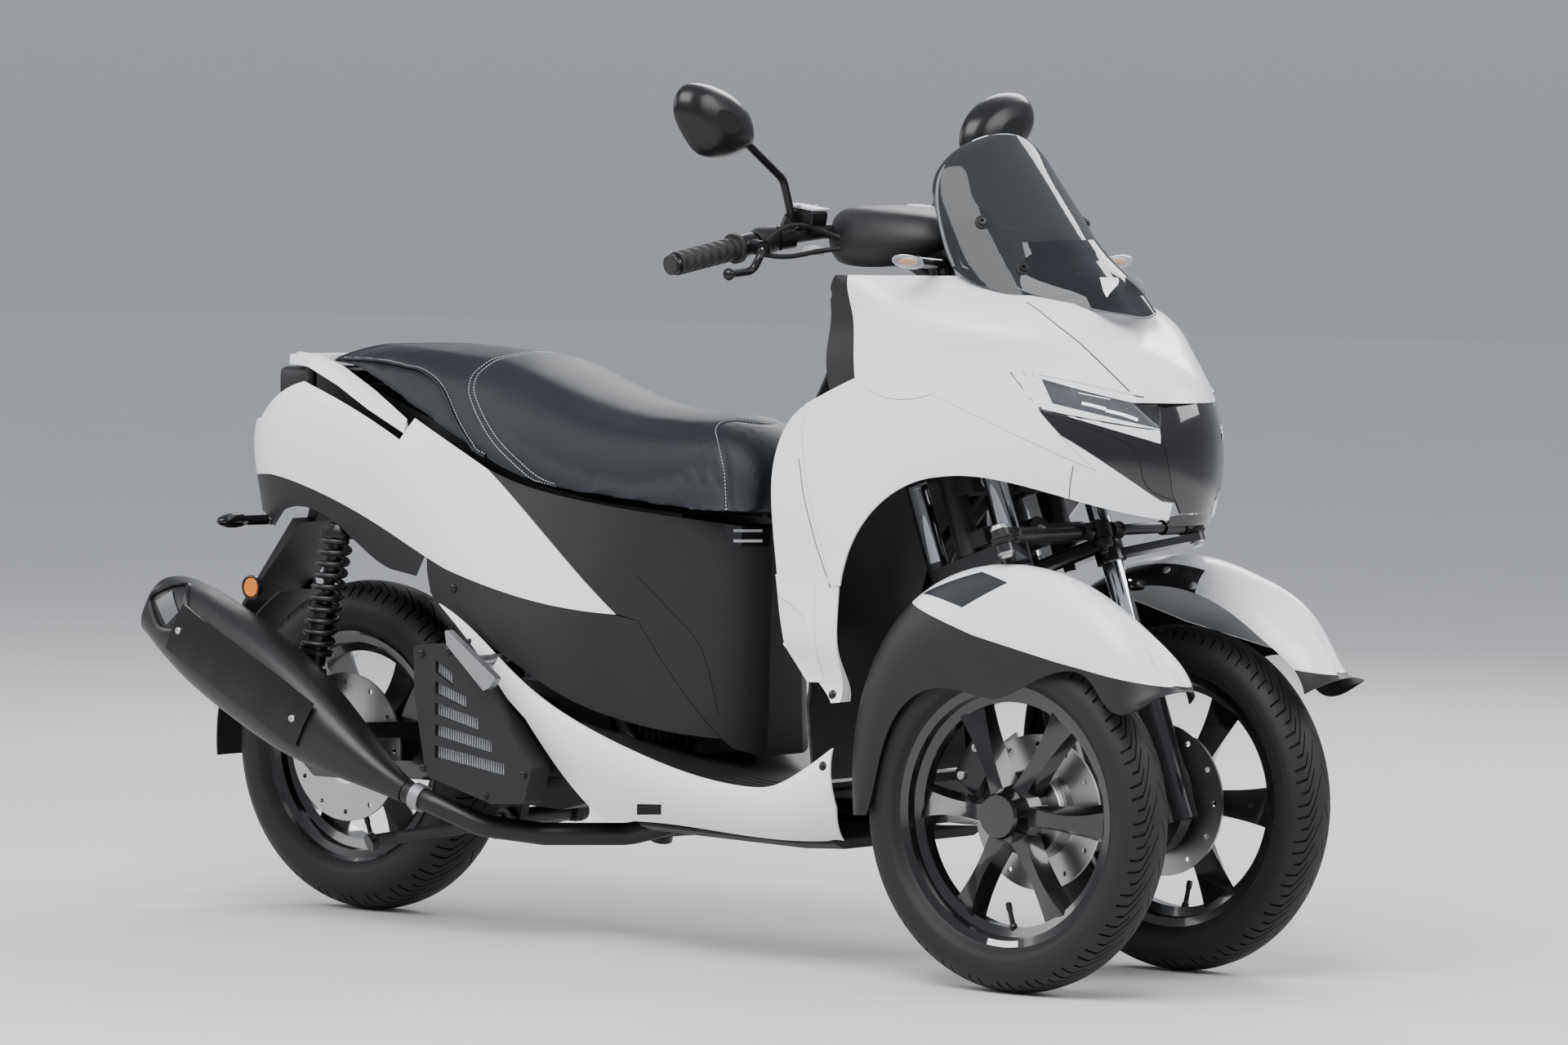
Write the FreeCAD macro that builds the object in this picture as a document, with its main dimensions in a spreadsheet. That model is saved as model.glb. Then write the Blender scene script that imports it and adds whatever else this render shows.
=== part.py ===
import FreeCAD, Part
import math
import os
from FreeCAD import Placement, Rotation, Vector

# Reverse trike: a tilting three-wheeled scooter with two front wheels and one rear wheel.
# X points ahead, Y to the rider's left, Z up. The origin is on the ground under the middle of
# the overall length.

doc = FreeCAD.newDocument("reverse_trike")
sheet = doc.addObject("Spreadsheet::Sheet", "dims")

# Driving dimensions, in millimetres and degrees
SIZES = [
    ("overall_length", 1995),
    ("front_overhang", 290),
    ("wheelbase", 1410),
    ("track", 390),
    ("body_width", 484),
    ("seat_height", 782),
    ("front_tyre_radius", 250),
    ("front_tyre_width", 90),
    ("front_rim_radius", 190),
    ("front_rim_width", 66),
    ("rear_tyre_radius", 256),
    ("rear_tyre_width", 126),
    ("rear_rim_radius", 179),
    ("rear_rim_width", 98),
    ("rim_wall", 5),
    ("hub_radius", 44),
    ("spoke_count", 6),
    ("spoke_width", 68),
    ("front_disc_radius", 110),
    ("rear_disc_radius", 115),
    ("disc_thickness", 4),
    ("disc_hole_radius", 4),
    ("disc_hole_count", 12),
    ("axle_radius", 8),
    ("running_clearance", 0.3),
    ("caster_angle", 20),
    ("trail", 68),
    ("kingpin_spacing", 220),
    ("kingpin_radius", 9),
    ("kingpin_tube_radius", 19),
    ("fork_front_offset", 76),
    ("fork_rear_offset", 62),
    ("fork_tube_radius", 16),
    ("fork_slider_radius", 22),
    ("steering_arm_length", 148),
    ("tie_rod_radius", 8),
    ("head_tube_radius", 25),
    ("steering_shaft_radius", 12),
    ("handlebar_radius", 11),
    ("handlebar_width", 750),
    ("grip_radius", 17),
    ("grip_length", 125),
    ("panel_thickness", 3),
    ("panel_seam", 3),
    ("screen_thickness", 4),
    ("frame_tube_radius", 14),
    ("shock_spring_radius", 27),
    ("shock_coil_count", 8),
    ("exhaust_pipe_radius", 17),
    ("stand_tube_radius", 10),
    ("box_wall", 3),
    ("rack_hole_radius", 4.25),
    ("plate_hole_radius", 3),
]
for row, (alias, value) in enumerate(SIZES, start=1):
    sheet.set(f"A{row}", alias.replace("_", " "))
    sheet.set(f"B{row}", str(value))
    sheet.setAlias(f"B{row}", alias)
doc.recompute()


def size(alias):
    return float(sheet.get(alias))


# Where the axles are
REAR_AXLE_X = size("overall_length") / 2 - size("front_overhang") - size("wheelbase")
FRONT_AXLE_X = REAR_AXLE_X + size("wheelbase")
HALF_TRACK = size("track") / 2
CLEAR = size("running_clearance")
SKIN = size("panel_thickness")
SEAM = size("panel_seam")

# The body's shape is drawn on a 1410 mm wheelbase, 484 mm wide, with a 782 mm seat
DRAWN_WHEELBASE = 1410
DRAWN_WIDTH = 484
DRAWN_SEAT = 782


def ahead(x):
    """X of a point drawn x ahead of the rear axle."""
    return REAR_AXLE_X + x * size("wheelbase") / DRAWN_WHEELBASE


def across(y):
    return y * size("body_width") / DRAWN_WIDTH


def above(z):
    return z * size("seat_height") / DRAWN_SEAT


def spot(x, y, z):
    """Point of the body drawn x ahead of the rear axle, y to the left, z above the ground."""
    return Vector(ahead(x), across(y), above(z))


NODES = []


def feature(name, shape, placement=None):
    """Sub-part whose shape is set directly."""
    part = doc.addObject("Part::Feature", name)
    part.Label = name
    part.Shape = shape
    if placement:
        part.Placement = placement
    NODES.append(part)
    return part


# Shape helpers

def shape_of(name):
    """Shape of a sub-part that is already in the document."""
    return next(node.Shape for node in NODES if node.Label == name)


def fuse(*shapes):
    result = shapes[0].fuse(list(shapes[1:])) if len(shapes) > 1 else shapes[0]
    return result.removeSplitter()


def seated(shape, *neighbours):
    """The part of a piece that is left on its own side of the neighbours it stands against."""
    for other in neighbours:
        shape = shape.cut(other)
    return max(shape.Solids, key=lambda solid: solid.Volume)


def mirrored(shape):
    """The same shape on the other side of the vehicle."""
    return shape.mirror(Vector(0, 0, 0), Vector(0, 1, 0))


def pair(shape):
    """The shape and its mirror image, as one node's solids."""
    return Part.makeCompound(shape.Solids + mirrored(shape).Solids)


def rod(start, end, radius, end_radius=None):
    """Round bar or cone from one point to another."""
    run = end - start
    if end_radius is None:
        return Part.makeCylinder(radius, run.Length, start, run)
    return Part.makeCone(radius, end_radius, run.Length, start, run)


def bent_path(points, bend):
    """Straight runs joined by tangent arcs of about the given radius."""
    edges = []
    here = points[0]
    for before, corner, after in zip(points, points[1:], points[2:]):
        to_before = (before - corner).normalize()
        to_after = (after - corner).normalize()
        half = to_before.getAngle(to_after) / 2
        reach = min(bend / math.tan(half), 0.45 * (before - corner).Length, 0.45 * (after - corner).Length)
        start = corner + to_before * reach
        end = corner + to_after * reach
        middle_way = (to_before + to_after).normalize()
        radius = reach * math.tan(half)
        middle = corner + middle_way * (radius / math.sin(half) - radius)
        edges.append(Part.LineSegment(here, start).toShape())
        edges.append(Part.Arc(start, middle, end).toShape())
        here = end
    edges.append(Part.LineSegment(here, points[-1]).toShape())
    return Part.Wire(edges)


def bent_bar(points, radius, bend):
    path = bent_path(points, bend)
    ring = Part.Wire(Part.Circle(points[0], points[1] - points[0], radius).toShape())
    return path.makePipeShell([ring], True, True)


def run_edge(points):
    """One edge through the points: a line through two, a smooth curve through more."""
    if len(points) == 2:
        return Part.LineSegment(points[0], points[1]).toShape()
    curve = Part.BSplineCurve()
    curve.interpolate(points)
    return curve.toShape()


def section_wire(points):
    """Closed section through points of the left half, flat along its first and last point."""
    left = points
    right = [Vector(p.x, -p.y, p.z) for p in reversed(points)]
    return Part.Wire([
        run_edge(left),
        Part.LineSegment(left[-1], right[0]).toShape(),
        run_edge(right),
        Part.LineSegment(right[-1], left[0]).toShape(),
    ])


def loft(wires, ruled=False):
    return Part.makeLoft(wires, True, ruled)


# Wheels, each turning about its own Y axis

def origin_plane(body, role):
    return [item for item in body.Origin.OriginFeatures if item.Role == role][0]


def new_sketch(body, name, role, offset=None):
    sketch = body.newObject("Sketcher::SketchObject", name)
    sketch.AttachmentSupport = [(origin_plane(body, role), "")]
    sketch.MapMode = "FlatFace"
    if offset:
        sketch.AttachmentOffset = offset
    return sketch


def draw_polygon(sketch, points):
    for start, end in zip(points, points[1:] + points[:1]):
        sketch.addGeometry(Part.LineSegment(Vector(*start, 0), Vector(*end, 0)), False)


def revolve_about_y(body, name, points):
    """Ring of a section whose points are (radius, distance along the axle)."""
    sketch = new_sketch(body, name + "_section", "XY_Plane")
    draw_polygon(sketch, points)
    ring = body.newObject("PartDesign::Revolution", name)
    ring.Profile = sketch
    ring.ReferenceAxis = (sketch, ["V_Axis"])
    ring.Angle = 360
    doc.recompute()
    return ring


def wheel_rim(name, radius, width, hub_in, hub_out, outward, place, capped=True):
    """Alloy rim: flanged barrel, swept spokes and a hub with a bore for the axle."""
    body = doc.addObject("PartDesign::Body", name)
    body.Label = name
    wall = size("rim_wall")
    half = width / 2
    well = radius - 27
    outer = [(radius, half), (radius, half - 4), (radius - 12, half - 7), (radius - 14, half - 19),
             (well, half - 24)]
    inner = [(r - wall, y) for r, y in outer[1:]]
    profile = (outer + [(r, -y) for r, y in reversed(outer)]
               + [(r, -y) for r, y in inner] + [(r, y) for r, y in reversed(inner)])
    revolve_about_y(body, name + "_barrel", profile)
    bore = size("axle_radius") + CLEAR
    hub = size("hub_radius")
    cap = hub_out * outward
    root = -hub_in * outward
    # Tapered hub, closed by a round cap where the axle ends inside it
    inside = [(bore, cap)]
    if capped:
        inside = [(0, cap), (0, cap - 6 * outward), (bore, cap - 6 * outward)]
    revolve_about_y(body, name + "_hub", [
        (bore, root), (hub, root), (hub, root * 0.2), (hub * 0.9, cap * 0.4), (hub * 0.74, cap - 5 * outward),
        (hub * 0.68, cap)] + inside)
    # Each spoke runs from a deep narrow foot at the hub to a wide thin end at the barrel
    foot = hub * 0.75
    end = well - wall * 0.4
    wide = size("spoke_width") / 2
    stations = [
        (foot, [(-18, root * 0.6), (16, root * 0.6), (15, cap * 0.4), (-13, cap * 0.5)]),
        ((foot + end) / 2, [(-23, -9 * outward), (17, -5 * outward), (6, 19 * outward), (-15, 12 * outward)]),
        (end, [(-wide, -11 * outward), (wide * 0.75, -7 * outward), (wide * 0.4, 12 * outward),
               (-wide * 0.8, 3 * outward)]),
    ]
    sketches = []
    for index, (reach, corners) in enumerate(stations):
        place_at = Placement(Vector(0, 0, reach), Rotation())
        sketch = new_sketch(body, f"{name}_spoke_{index}", "YZ_Plane", place_at)
        # The sketch's own axes on this plane are Y and Z
        draw_polygon(sketch, [(y, z) for z, y in corners])
        sketches.append(sketch)
    spoke = body.newObject("PartDesign::AdditiveLoft", name + "_spoke")
    spoke.Profile = sketches[0]
    spoke.Sections = sketches[1:]
    doc.recompute()
    spokes = body.newObject("PartDesign::PolarPattern", name + "_spokes")
    spokes.Originals = [spoke]
    spokes.Axis = (origin_axis(body), [""])
    spokes.Angle = 360
    spokes.setExpression("Occurrences", "dims.spoke_count")
    body.Tip = spokes
    body.Placement = place
    NODES.append(body)
    return body


def origin_axis(body):
    return [item for item in body.Origin.OriginFeatures if item.Role == "Y_Axis"][0]


def wheel_tyre(name, radius, width, rim_radius, rim_width, place):
    """Hollow tyre that sits between the rim's flanges."""
    body = doc.addObject("PartDesign::Body", name)
    body.Label = name
    half = width / 2
    seat = rim_radius - 12 + CLEAR
    lip = rim_width / 2 - 7.5
    height = radius - seat
    outer = [(seat, lip), (rim_radius + 1, lip), (seat + 0.42 * height, half), (seat + 0.66 * height, half * 0.97),
             (seat + 0.86 * height, half * 0.72), (seat + 0.965 * height, half * 0.38), (radius, 0)]
    inner = [(seat + 0.86 * height, 0), (seat + 0.74 * height, half * 0.62), (seat + 0.45 * height, half * 0.84),
             (seat, lip - 9)]
    profile = (outer + [(r, -y) for r, y in reversed(outer[:-1])]
               + [(r, -y) for r, y in reversed(inner)] + inner[1:])
    revolve_about_y(body, name + "_carcass", profile)
    body.Placement = place
    NODES.append(body)
    return body


def brake_disc(name, radius, mid_y, hub_y, place):
    """Drilled disc with the carrier that bolts it to the hub."""
    body = doc.addObject("PartDesign::Body", name)
    body.Label = name
    half = size("disc_thickness") / 2
    toward = 1 if hub_y > mid_y else -1
    bore = size("axle_radius") + CLEAR
    face = mid_y - toward * half
    back = mid_y + toward * half
    carrier = radius - 44
    revolve_about_y(body, name + "_ring", [
        (radius, face), (radius, back), (carrier, back), (carrier - 6, hub_y), (bore, hub_y),
        (bore, hub_y - toward * 5), (carrier - 14, face)])
    drill = new_sketch(body, name + "_drill", "XZ_Plane")
    hole = Part.Circle(Vector(radius - 14, 0, 0), Vector(0, 0, 1), size("disc_hole_radius"))
    drill.addGeometry(hole, False)
    holes = body.newObject("PartDesign::Pocket", name + "_holes")
    holes.Profile = drill
    holes.Type = 1
    holes.Midplane = True
    doc.recompute()
    around = body.newObject("PartDesign::PolarPattern", name + "_hole_circle")
    around.Originals = [holes]
    around.Axis = (origin_axis(body), [""])
    around.Angle = 360
    around.setExpression("Occurrences", "dims.disc_hole_count")
    body.Tip = around
    body.Placement = place
    NODES.append(body)
    return body


REAR_HUB = Placement(Vector(REAR_AXLE_X, 0, size("rear_tyre_radius")), Rotation())
HUB_IN = 22
HUB_OUT = 45
FRONT_DISC_Y = 50
wheel_rim("rear_rim", size("rear_rim_radius"), size("rear_rim_width"), 48, 48, 1, REAR_HUB, False)
wheel_tyre("rear_tyre", size("rear_tyre_radius"), size("rear_tyre_width"), size("rear_rim_radius"),
           size("rear_rim_width"), REAR_HUB)
brake_disc("rear_disc", size("rear_disc_radius"), -62, -48.3, REAR_HUB)
for side, sign in (("right", -1), ("left", 1)):
    hub = Placement(Vector(FRONT_AXLE_X, sign * HALF_TRACK, size("front_tyre_radius")), Rotation())
    wheel_rim(f"front_rim_{side}", size("front_rim_radius"), size("front_rim_width"), HUB_IN, HUB_OUT, sign, hub)
    wheel_tyre(f"front_tyre_{side}", size("front_tyre_radius"), size("front_tyre_width"),
               size("front_rim_radius"), size("front_rim_width"), hub)
    brake_disc(f"front_disc_{side}", size("front_disc_radius"), -sign * FRONT_DISC_Y,
               -sign * (HUB_IN + CLEAR), hub)


# Steering frame: u ahead, v to the left, w up along the steering axis from the ground
LEAN = math.radians(size("caster_angle"))
AXIS_FOOT_X = FRONT_AXLE_X + size("trail")
AXIS = Vector(-math.sin(LEAN), 0, math.cos(LEAN))
AHEAD = Vector(math.cos(LEAN), 0, math.sin(LEAN))


def steer_point(u, v, w):
    return Vector(AXIS_FOOT_X, 0, 0) + AHEAD * u + Vector(0, v, 0) + AXIS * w


def steer_place(u, v, w):
    """Placement whose Z runs up the steering axis and whose X runs ahead."""
    return Placement(steer_point(u, v, w), Rotation(Vector(0, 1, 0), -size("caster_angle")))


def steer_box(u_low, u_high, v_low, v_high, w_low, w_high):
    box = Part.makeBox(u_high - u_low, v_high - v_low, w_high - w_low)
    box.Placement = steer_place(u_low, v_low, w_low)
    return box


def steer_rod(u, v, w_low, w_high, radius):
    return Part.makeCylinder(radius, w_high - w_low, steer_point(u, v, w_low), AXIS)


def steer_plate(points, w_low, w_high):
    """Flat plate across the steering axis through (u, v) points."""
    outline = [steer_point(u, v, w_low) for u, v in points]
    return Part.Face(Part.makePolygon(outline + outline[:1])).extrude(AXIS * (w_high - w_low))


PIN_V = size("kingpin_spacing") / 2
AXLE_U = -size("trail") * math.cos(LEAN) + size("front_tyre_radius") * math.sin(LEAN)
AXLE_W = size("trail") * math.sin(LEAN) + size("front_tyre_radius") * math.cos(LEAN)
ARM_LOW = AXLE_W + 346
ARM_HIGH = ARM_LOW + 11
ROD_W = ARM_HIGH + 13
BRIDGE_HIGH = ARM_LOW + 36
TUBE_LOW = BRIDGE_HIGH + 1
TUBE_HIGH = TUBE_LOW + 118
TOP_BRIDGE_LOW = TUBE_HIGH + 1
TOP_BRIDGE_HIGH = TOP_BRIDGE_LOW + 20
FRONT_LEG = size("fork_front_offset")
REAR_LEG = -size("fork_rear_offset")
ARM_U = size("steering_arm_length")
ARM_V = 225


def knuckle(side, sign):
    """Twin-tube fork with its king-pin, steering arm, axle carrier and stub axle."""
    v = sign * PIN_V
    tube = size("fork_tube_radius")
    slider = size("fork_slider_radius")
    pieces = [steer_rod(0, v, ARM_LOW + 6, TOP_BRIDGE_HIGH, size("kingpin_radius"))]
    for leg in (FRONT_LEG, REAR_LEG):
        pieces.append(steer_rod(leg, v, AXLE_W + 150, TOP_BRIDGE_HIGH, tube))
        pieces.append(steer_rod(leg, v, AXLE_W - 45, AXLE_W + 200, slider))
        pieces.append(steer_rod(leg, v, AXLE_W + 200, AXLE_W + 212, slider * 0.86))
    for low, high, wide in ((ARM_LOW + 12, BRIDGE_HIGH, 17), (TOP_BRIDGE_LOW, TOP_BRIDGE_HIGH, 15)):
        pieces.append(steer_box(REAR_LEG, FRONT_LEG, v - wide, v + wide, low, high))
    # Steering arm from the front leg's clamp out to the tie rod's ball joint
    tip_v = sign * ARM_V
    pieces.append(steer_plate([(FRONT_LEG - 12, v), (FRONT_LEG + 20, v - sign * 6), (ARM_U + 10, tip_v - sign * 10),
                               (ARM_U - 12, tip_v + sign * 6), (FRONT_LEG - 2, v + sign * 24)], ARM_LOW, ARM_HIGH))
    pieces.append(steer_rod(ARM_U, tip_v, ARM_LOW, ARM_HIGH, 13))
    pieces.append(steer_rod(FRONT_LEG, v, ARM_LOW - 4, BRIDGE_HIGH, tube + 6))
    # Rounded carrier between the legs' feet, and the stub axle through the wheel
    middle = (FRONT_LEG + REAR_LEG) / 2 + 4
    hub = steer_point(AXLE_U, sign * HALF_TRACK, AXLE_W)
    inner = Vector(hub.x, v, hub.z)
    plate = steer_point(middle, v, AXLE_W + 6)
    pieces.append(Part.makeCylinder(86, 26, plate + Vector(0, -13, 0), Vector(0, 1, 0)))
    pieces.append(rod(inner, hub - Vector(0, sign * (FRONT_DISC_Y + 3), 0), 24))
    pieces.append(rod(inner, hub + Vector(0, sign * (HUB_OUT - 8), 0), size("axle_radius")))
    pieces.append(caliper(sign))
    # Bosses that carry the fender
    for leg in (FRONT_LEG, REAR_LEG):
        foot = steer_point(leg, v, AXLE_W + 307)
        pieces.append(rod(foot, foot + Vector(0, sign * 52, 0), 9))
    whole = fuse(*pieces)
    whole = seated(whole, shape_of(f"fender_upper_{side}"), shape_of(f"fender_lower_{side}"))
    return feature(f"fork_{side}", whole)


def caliper(sign):
    """Two-piston caliper over the disc's rear edge, carried by the fork's rear leg."""
    disc_y = sign * (HALF_TRACK - FRONT_DISC_Y)
    reach = size("front_disc_radius")
    back = math.radians(148)
    centre = Vector(FRONT_AXLE_X, disc_y, size("front_tyre_radius"))
    middle = centre + Vector(math.cos(back), 0, math.sin(back)) * (reach + 6)
    body = Part.makeBox(48, 40, 72, Vector(-24, -20, -36))
    body.Placement = Placement(middle, Rotation(Vector(0, 1, 0), -148))
    gap = size("disc_thickness") / 2 + 1
    slot = Part.makeCylinder(reach + 3, 2 * gap, centre - Vector(0, gap, 0), Vector(0, 1, 0))
    foot = steer_point(REAR_LEG, sign * PIN_V, AXLE_W + 70)
    return body.cut(slot).fuse(rod(foot, Vector(middle.x, foot.y, middle.z), 16))


FENDER_OUT = 250
FENDER_IN = 136
FENDER_ANGLES = [
    # angle from straight ahead, crown radius, outer skirt's lower radius
    (33, 346, 318),
    (50, 344, 259),
    (70, 346, 205),
    (88, 350, 166),
    (106, 348, 178),
    (122, 338, 205),
    (138, 318, 218),
    (154, 296, 216),
    (170, 278, 214),
    (183, 268, 226),
]


def fender_section(sign, angle, crown, skirt, depth):
    """Points across the fender, from the outer skirt over the crown to the inner edge."""
    turn = math.radians(angle)
    away = Vector(math.cos(turn), 0, math.sin(turn))
    centre = Vector(FRONT_AXLE_X, 0, size("front_tyre_radius"))
    middle = (FENDER_OUT + FENDER_IN) / 2
    drop = crown - skirt
    rows = [
        (skirt + (depth * 0.1), FENDER_OUT - depth),
        (skirt + drop * 0.5, FENDER_OUT + 1 - depth),
        (crown - 0.16 * drop - 5 - depth * 0.5, FENDER_OUT - 9 - depth),
        (crown - 4 - depth, FENDER_OUT - 26),
        (crown - depth, middle),
        (crown - 16 - depth, FENDER_IN + 18),
        (crown - 42, FENDER_IN + depth),
    ]
    shift = HALF_TRACK - 195
    return [centre + away * radius + Vector(0, sign * (y + shift), 0) for radius, y in rows]


def fender(side, sign):
    """White upper fender and dark lower skirt, split along a line in the side view."""
    wires = []
    for angle, crown, skirt in FENDER_ANGLES:
        outer = fender_section(sign, angle, crown, skirt, 0)
        inner = fender_section(sign, angle, crown, skirt, SKIN)
        wires.append(Part.Wire([
            run_edge(outer),
            Part.LineSegment(outer[-1], inner[-1]).toShape(),
            run_edge(list(reversed(inner))),
            Part.LineSegment(inner[0], outer[0]).toShape(),
        ]))
    shell = loft(wires)
    x0 = FRONT_AXLE_X
    z0 = size("front_tyre_radius")
    split = [(-190, 318), (-168, 292), (-37, 252), (107, 222), (320, 186)]
    for name, ends, shift in (("upper", [(420, 186), (420, 500), (-190, 500)], 0),
                              ("lower", [(320, -100), (-500, -100), (-500, 318)], -SEAM / 3)):
        corners = [(x, z + shift) for x, z in split] + ends
        outline = Part.makePolygon([Vector(x0 + x, 0, z0 + z) for x, z in corners + corners[:1]])
        cutter = Part.Face(outline).extrude(Vector(0, sign * 400, 0))
        feature(f"fender_{name}_{side}", shell.common(cutter))


for side, sign in (("right", -1), ("left", 1)):
    fender(side, sign)
    knuckle(side, sign)

# Steering: shaft, centre arm, tie rods, bar
SHAFT_TOP_W = 1078
HEAD_LOW = TUBE_LOW - 6
HEAD_HIGH = 960


def steering_column():
    """Handlebar with its stem, steering shaft and the centre arm at the shaft's foot."""
    radius = size("handlebar_radius")
    half = size("handlebar_width") / 2
    bar = bent_bar([
        Vector(ahead(918), half, above(1012)), Vector(ahead(940), across(189), above(1048)),
        Vector(ahead(985), across(110), above(1062)), Vector(ahead(992), 0, above(1062)),
        Vector(ahead(985), -across(110), above(1062)), Vector(ahead(940), -across(189), above(1048)),
        Vector(ahead(918), -half, above(1012))], radius, 60)
    top = steer_point(0, 0, SHAFT_TOP_W)
    clamp = Vector(ahead(992), 0, above(1062))
    pieces = [
        bar,
        steer_rod(0, 0, ARM_LOW, SHAFT_TOP_W, size("steering_shaft_radius")),
        rod(top - AXIS * 24, clamp, 17),
        Part.makeCylinder(18, 60, clamp - Vector(0, 30, 0), Vector(0, 1, 0)),
        steer_rod(0, 0, SHAFT_TOP_W - 50, SHAFT_TOP_W, 19),
        steer_rod(0, 0, ARM_LOW, ARM_HIGH, 22),
        steer_box(0, ARM_U, -12, 12, ARM_LOW, ARM_HIGH),
        steer_rod(ARM_U, 0, ARM_LOW, ARM_HIGH, 15),
        steer_rod(ARM_U, 0, ARM_LOW - 8, ROD_W + 16, 6),
    ]
    return feature("handlebar", fuse(*pieces))


def tie_rods():
    """Two forged rods in line, from the centre arm's pin to the ball joints on the forks."""
    low = ARM_HIGH + 1
    pieces = []
    for sign in (-1, 1):
        end = steer_point(ARM_U, sign * ARM_V, ROD_W)
        pieces.append(rod(steer_point(ARM_U, 0, ROD_W), end, size("tie_rod_radius")))
        pieces.append(steer_rod(ARM_U, sign * ARM_V, low, ROD_W + 9, 14))
        pieces.append(rod(steer_point(ARM_U, sign * 150, ROD_W), steer_point(ARM_U, sign * 205, ROD_W), 11))
    pieces.append(steer_rod(ARM_U, 0, low, ROD_W + 12, 18))
    bore = steer_rod(ARM_U, 0, low - 5, ROD_W + 30, 6 + CLEAR)
    feature("tie_rods", fuse(*pieces).cut(bore))


column = steering_column()
tie_rods()


def grips_and_levers():
    half = size("handlebar_width") / 2
    inner = Vector(ahead(940), across(189), above(1048))
    outer = Vector(ahead(918), half, above(1012))
    along = (outer - inner).normalize()
    reach = (outer - inner).Length
    bar_radius = size("handlebar_radius")
    start = inner + along * (reach - size("grip_length"))
    grip = fuse(rod(start, outer - along * 12, size("grip_radius")),
                rod(outer - along * 12, outer, 14),
                rod(start - along * 8, start, 22))
    grip = grip.cut(rod(inner, outer + along * 5, bar_radius + CLEAR / 3))
    feature("grips", pair(grip))
    # Lever, its perch on the bar and the fluid reservoir above
    perch = start - along * 26
    pivot = perch + Vector(34, 4, -4)
    tip = Vector(ahead(980), across(318), above(1000))
    lever = fuse(
        bent_bar([pivot, pivot + Vector(22, 30, -8), tip + Vector(2, -50, 4), tip], 6, 30),
        Part.makeSphere(9, tip),
        Part.makeCylinder(12, 14, pivot - Vector(0, 0, 7), Vector(0, 0, 1)),
        rod(perch, pivot, 11),
        rod(perch - along * 12, perch + along * 12, 17),
    ).cut(rod(inner - along * 10, outer, bar_radius + CLEAR / 3))
    feature("brake_levers", pair(lever))


MIRROR_OUTLINE = [(-83, -22), (-76, 4), (-42, 35), (0, 50), (36, 54), (60, 49), (75, 30), (75, 8), (56, -20),
                  (26, -45), (-13, -52), (-60, -43)]


def mirrors():
    """Mirror heads with a domed back on cranked stems, each clamped on the bar."""
    boss = spot(967, 164, 1082)
    head = spot(958, 330, 1216)
    bar_at = Vector(ahead(956), across(164), above(1052.5))
    along = Vector(ahead(985) - ahead(940), across(110) - across(189), above(1062) - above(1048)).normalize()
    stem = bent_bar([bar_at, boss, boss + Vector(0, 20, 54), head + Vector(6, -44, -14),
                     head + Vector(6, 10, 0)], 6, 30)
    clamp = rod(bar_at - along * 11, bar_at + along * 11, 18)
    base = rod(bar_at + Vector(0, 0, 8), boss, 11)
    wires = []
    for x, scale in ((-12, 0.95), (-8, 1), (6, 0.97), (20, 0.8), (28, 0.5), (30, 0.25)):
        curve = Part.BSplineCurve()
        curve.interpolate([head + Vector(x, y * scale, z * scale) for y, z in MIRROR_OUTLINE], PeriodicFlag=True)
        wires.append(Part.Wire(curve.toShape()))
    housing = loft(wires)
    shape = fuse(housing, stem, base, clamp)
    return pair(seated(shape, column.Shape))


COVER_STATIONS = [
    # x, half width, bottom, top
    (970, 74, 1036, 1080),
    (992, 106, 1020, 1093),
    (1040, 124, 1012, 1095),
    (1090, 122, 1012, 1091),
    (1140, 104, 1022, 1085),
    (1170, 78, 1038, 1071),
]


def arched_wire(x, half, low, high):
    """Arch over the bar's middle with a flat foot."""
    rows = [(half * 0.86, low), (half, 0.5 * (low + high)), (half * 0.84, high - 6), (half * 0.4, high + 3),
            (0, high + 5)]
    left = [Vector(x, y, z) for y, z in rows]
    right = [Vector(p.x, -p.y, p.z) for p in reversed(left[:-1])]
    return Part.Wire([run_edge(left + right), Part.LineSegment(right[-1], left[0]).toShape()])


def handlebar_cover():
    """Moulded cover round the bar's middle and the stem, open below for the shaft."""
    outer = loft([arched_wire(ahead(x), across(half), above(low), above(high))
                  for x, half, low, high in COVER_STATIONS])
    ends = (COVER_STATIONS[0][0], COVER_STATIONS[-1][0])
    inner = loft([arched_wire(ahead(x) + (SKIN if x == ends[0] else -SKIN if x == ends[1] else 0),
                              across(half) - SKIN, above(low) + SKIN, above(high) - SKIN)
                  for x, half, low, high in COVER_STATIONS])
    hollow = outer.cut(inner).cut(steer_rod(0, 0, 900, 1090, 30))
    feature("handlebar_cover", hollow.cut(column.Shape))


grips_and_levers()
feature("mirrors", mirrors())
handlebar_cover()


# Body shells: one smooth volume each, hollowed and split along its real seams

def side_block(points, y_low, y_high):
    """Prism of a straight-edged side outline between two widths."""
    outline = [spot(x, y_low, z) for x, z in points]
    face = Part.Face(Part.makePolygon(outline + outline[:1]))
    return face.extrude(Vector(0, across(y_high) - across(y_low), 0))


def side_stations(stations, depth=0):
    """Closed sections across the body from (x, [(half width, height), ...]) rows, top to bottom."""
    wires = []
    last = len(stations) - 1
    for index, (x, rows) in enumerate(stations):
        points = [spot(x, y, z) for y, z in rows]
        if depth:
            end_shift = depth if index == 0 else -depth if index == last else 0
            points = [Vector(p.x + end_shift, p.y - depth, p.z) for p in points]
            points = [points[0] + Vector(0, 0, OPEN_END)] + points[1:-1] + [points[-1] - Vector(0, 0, OPEN_END)]
        wires.append(section_wire(points))
    return wires


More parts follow.
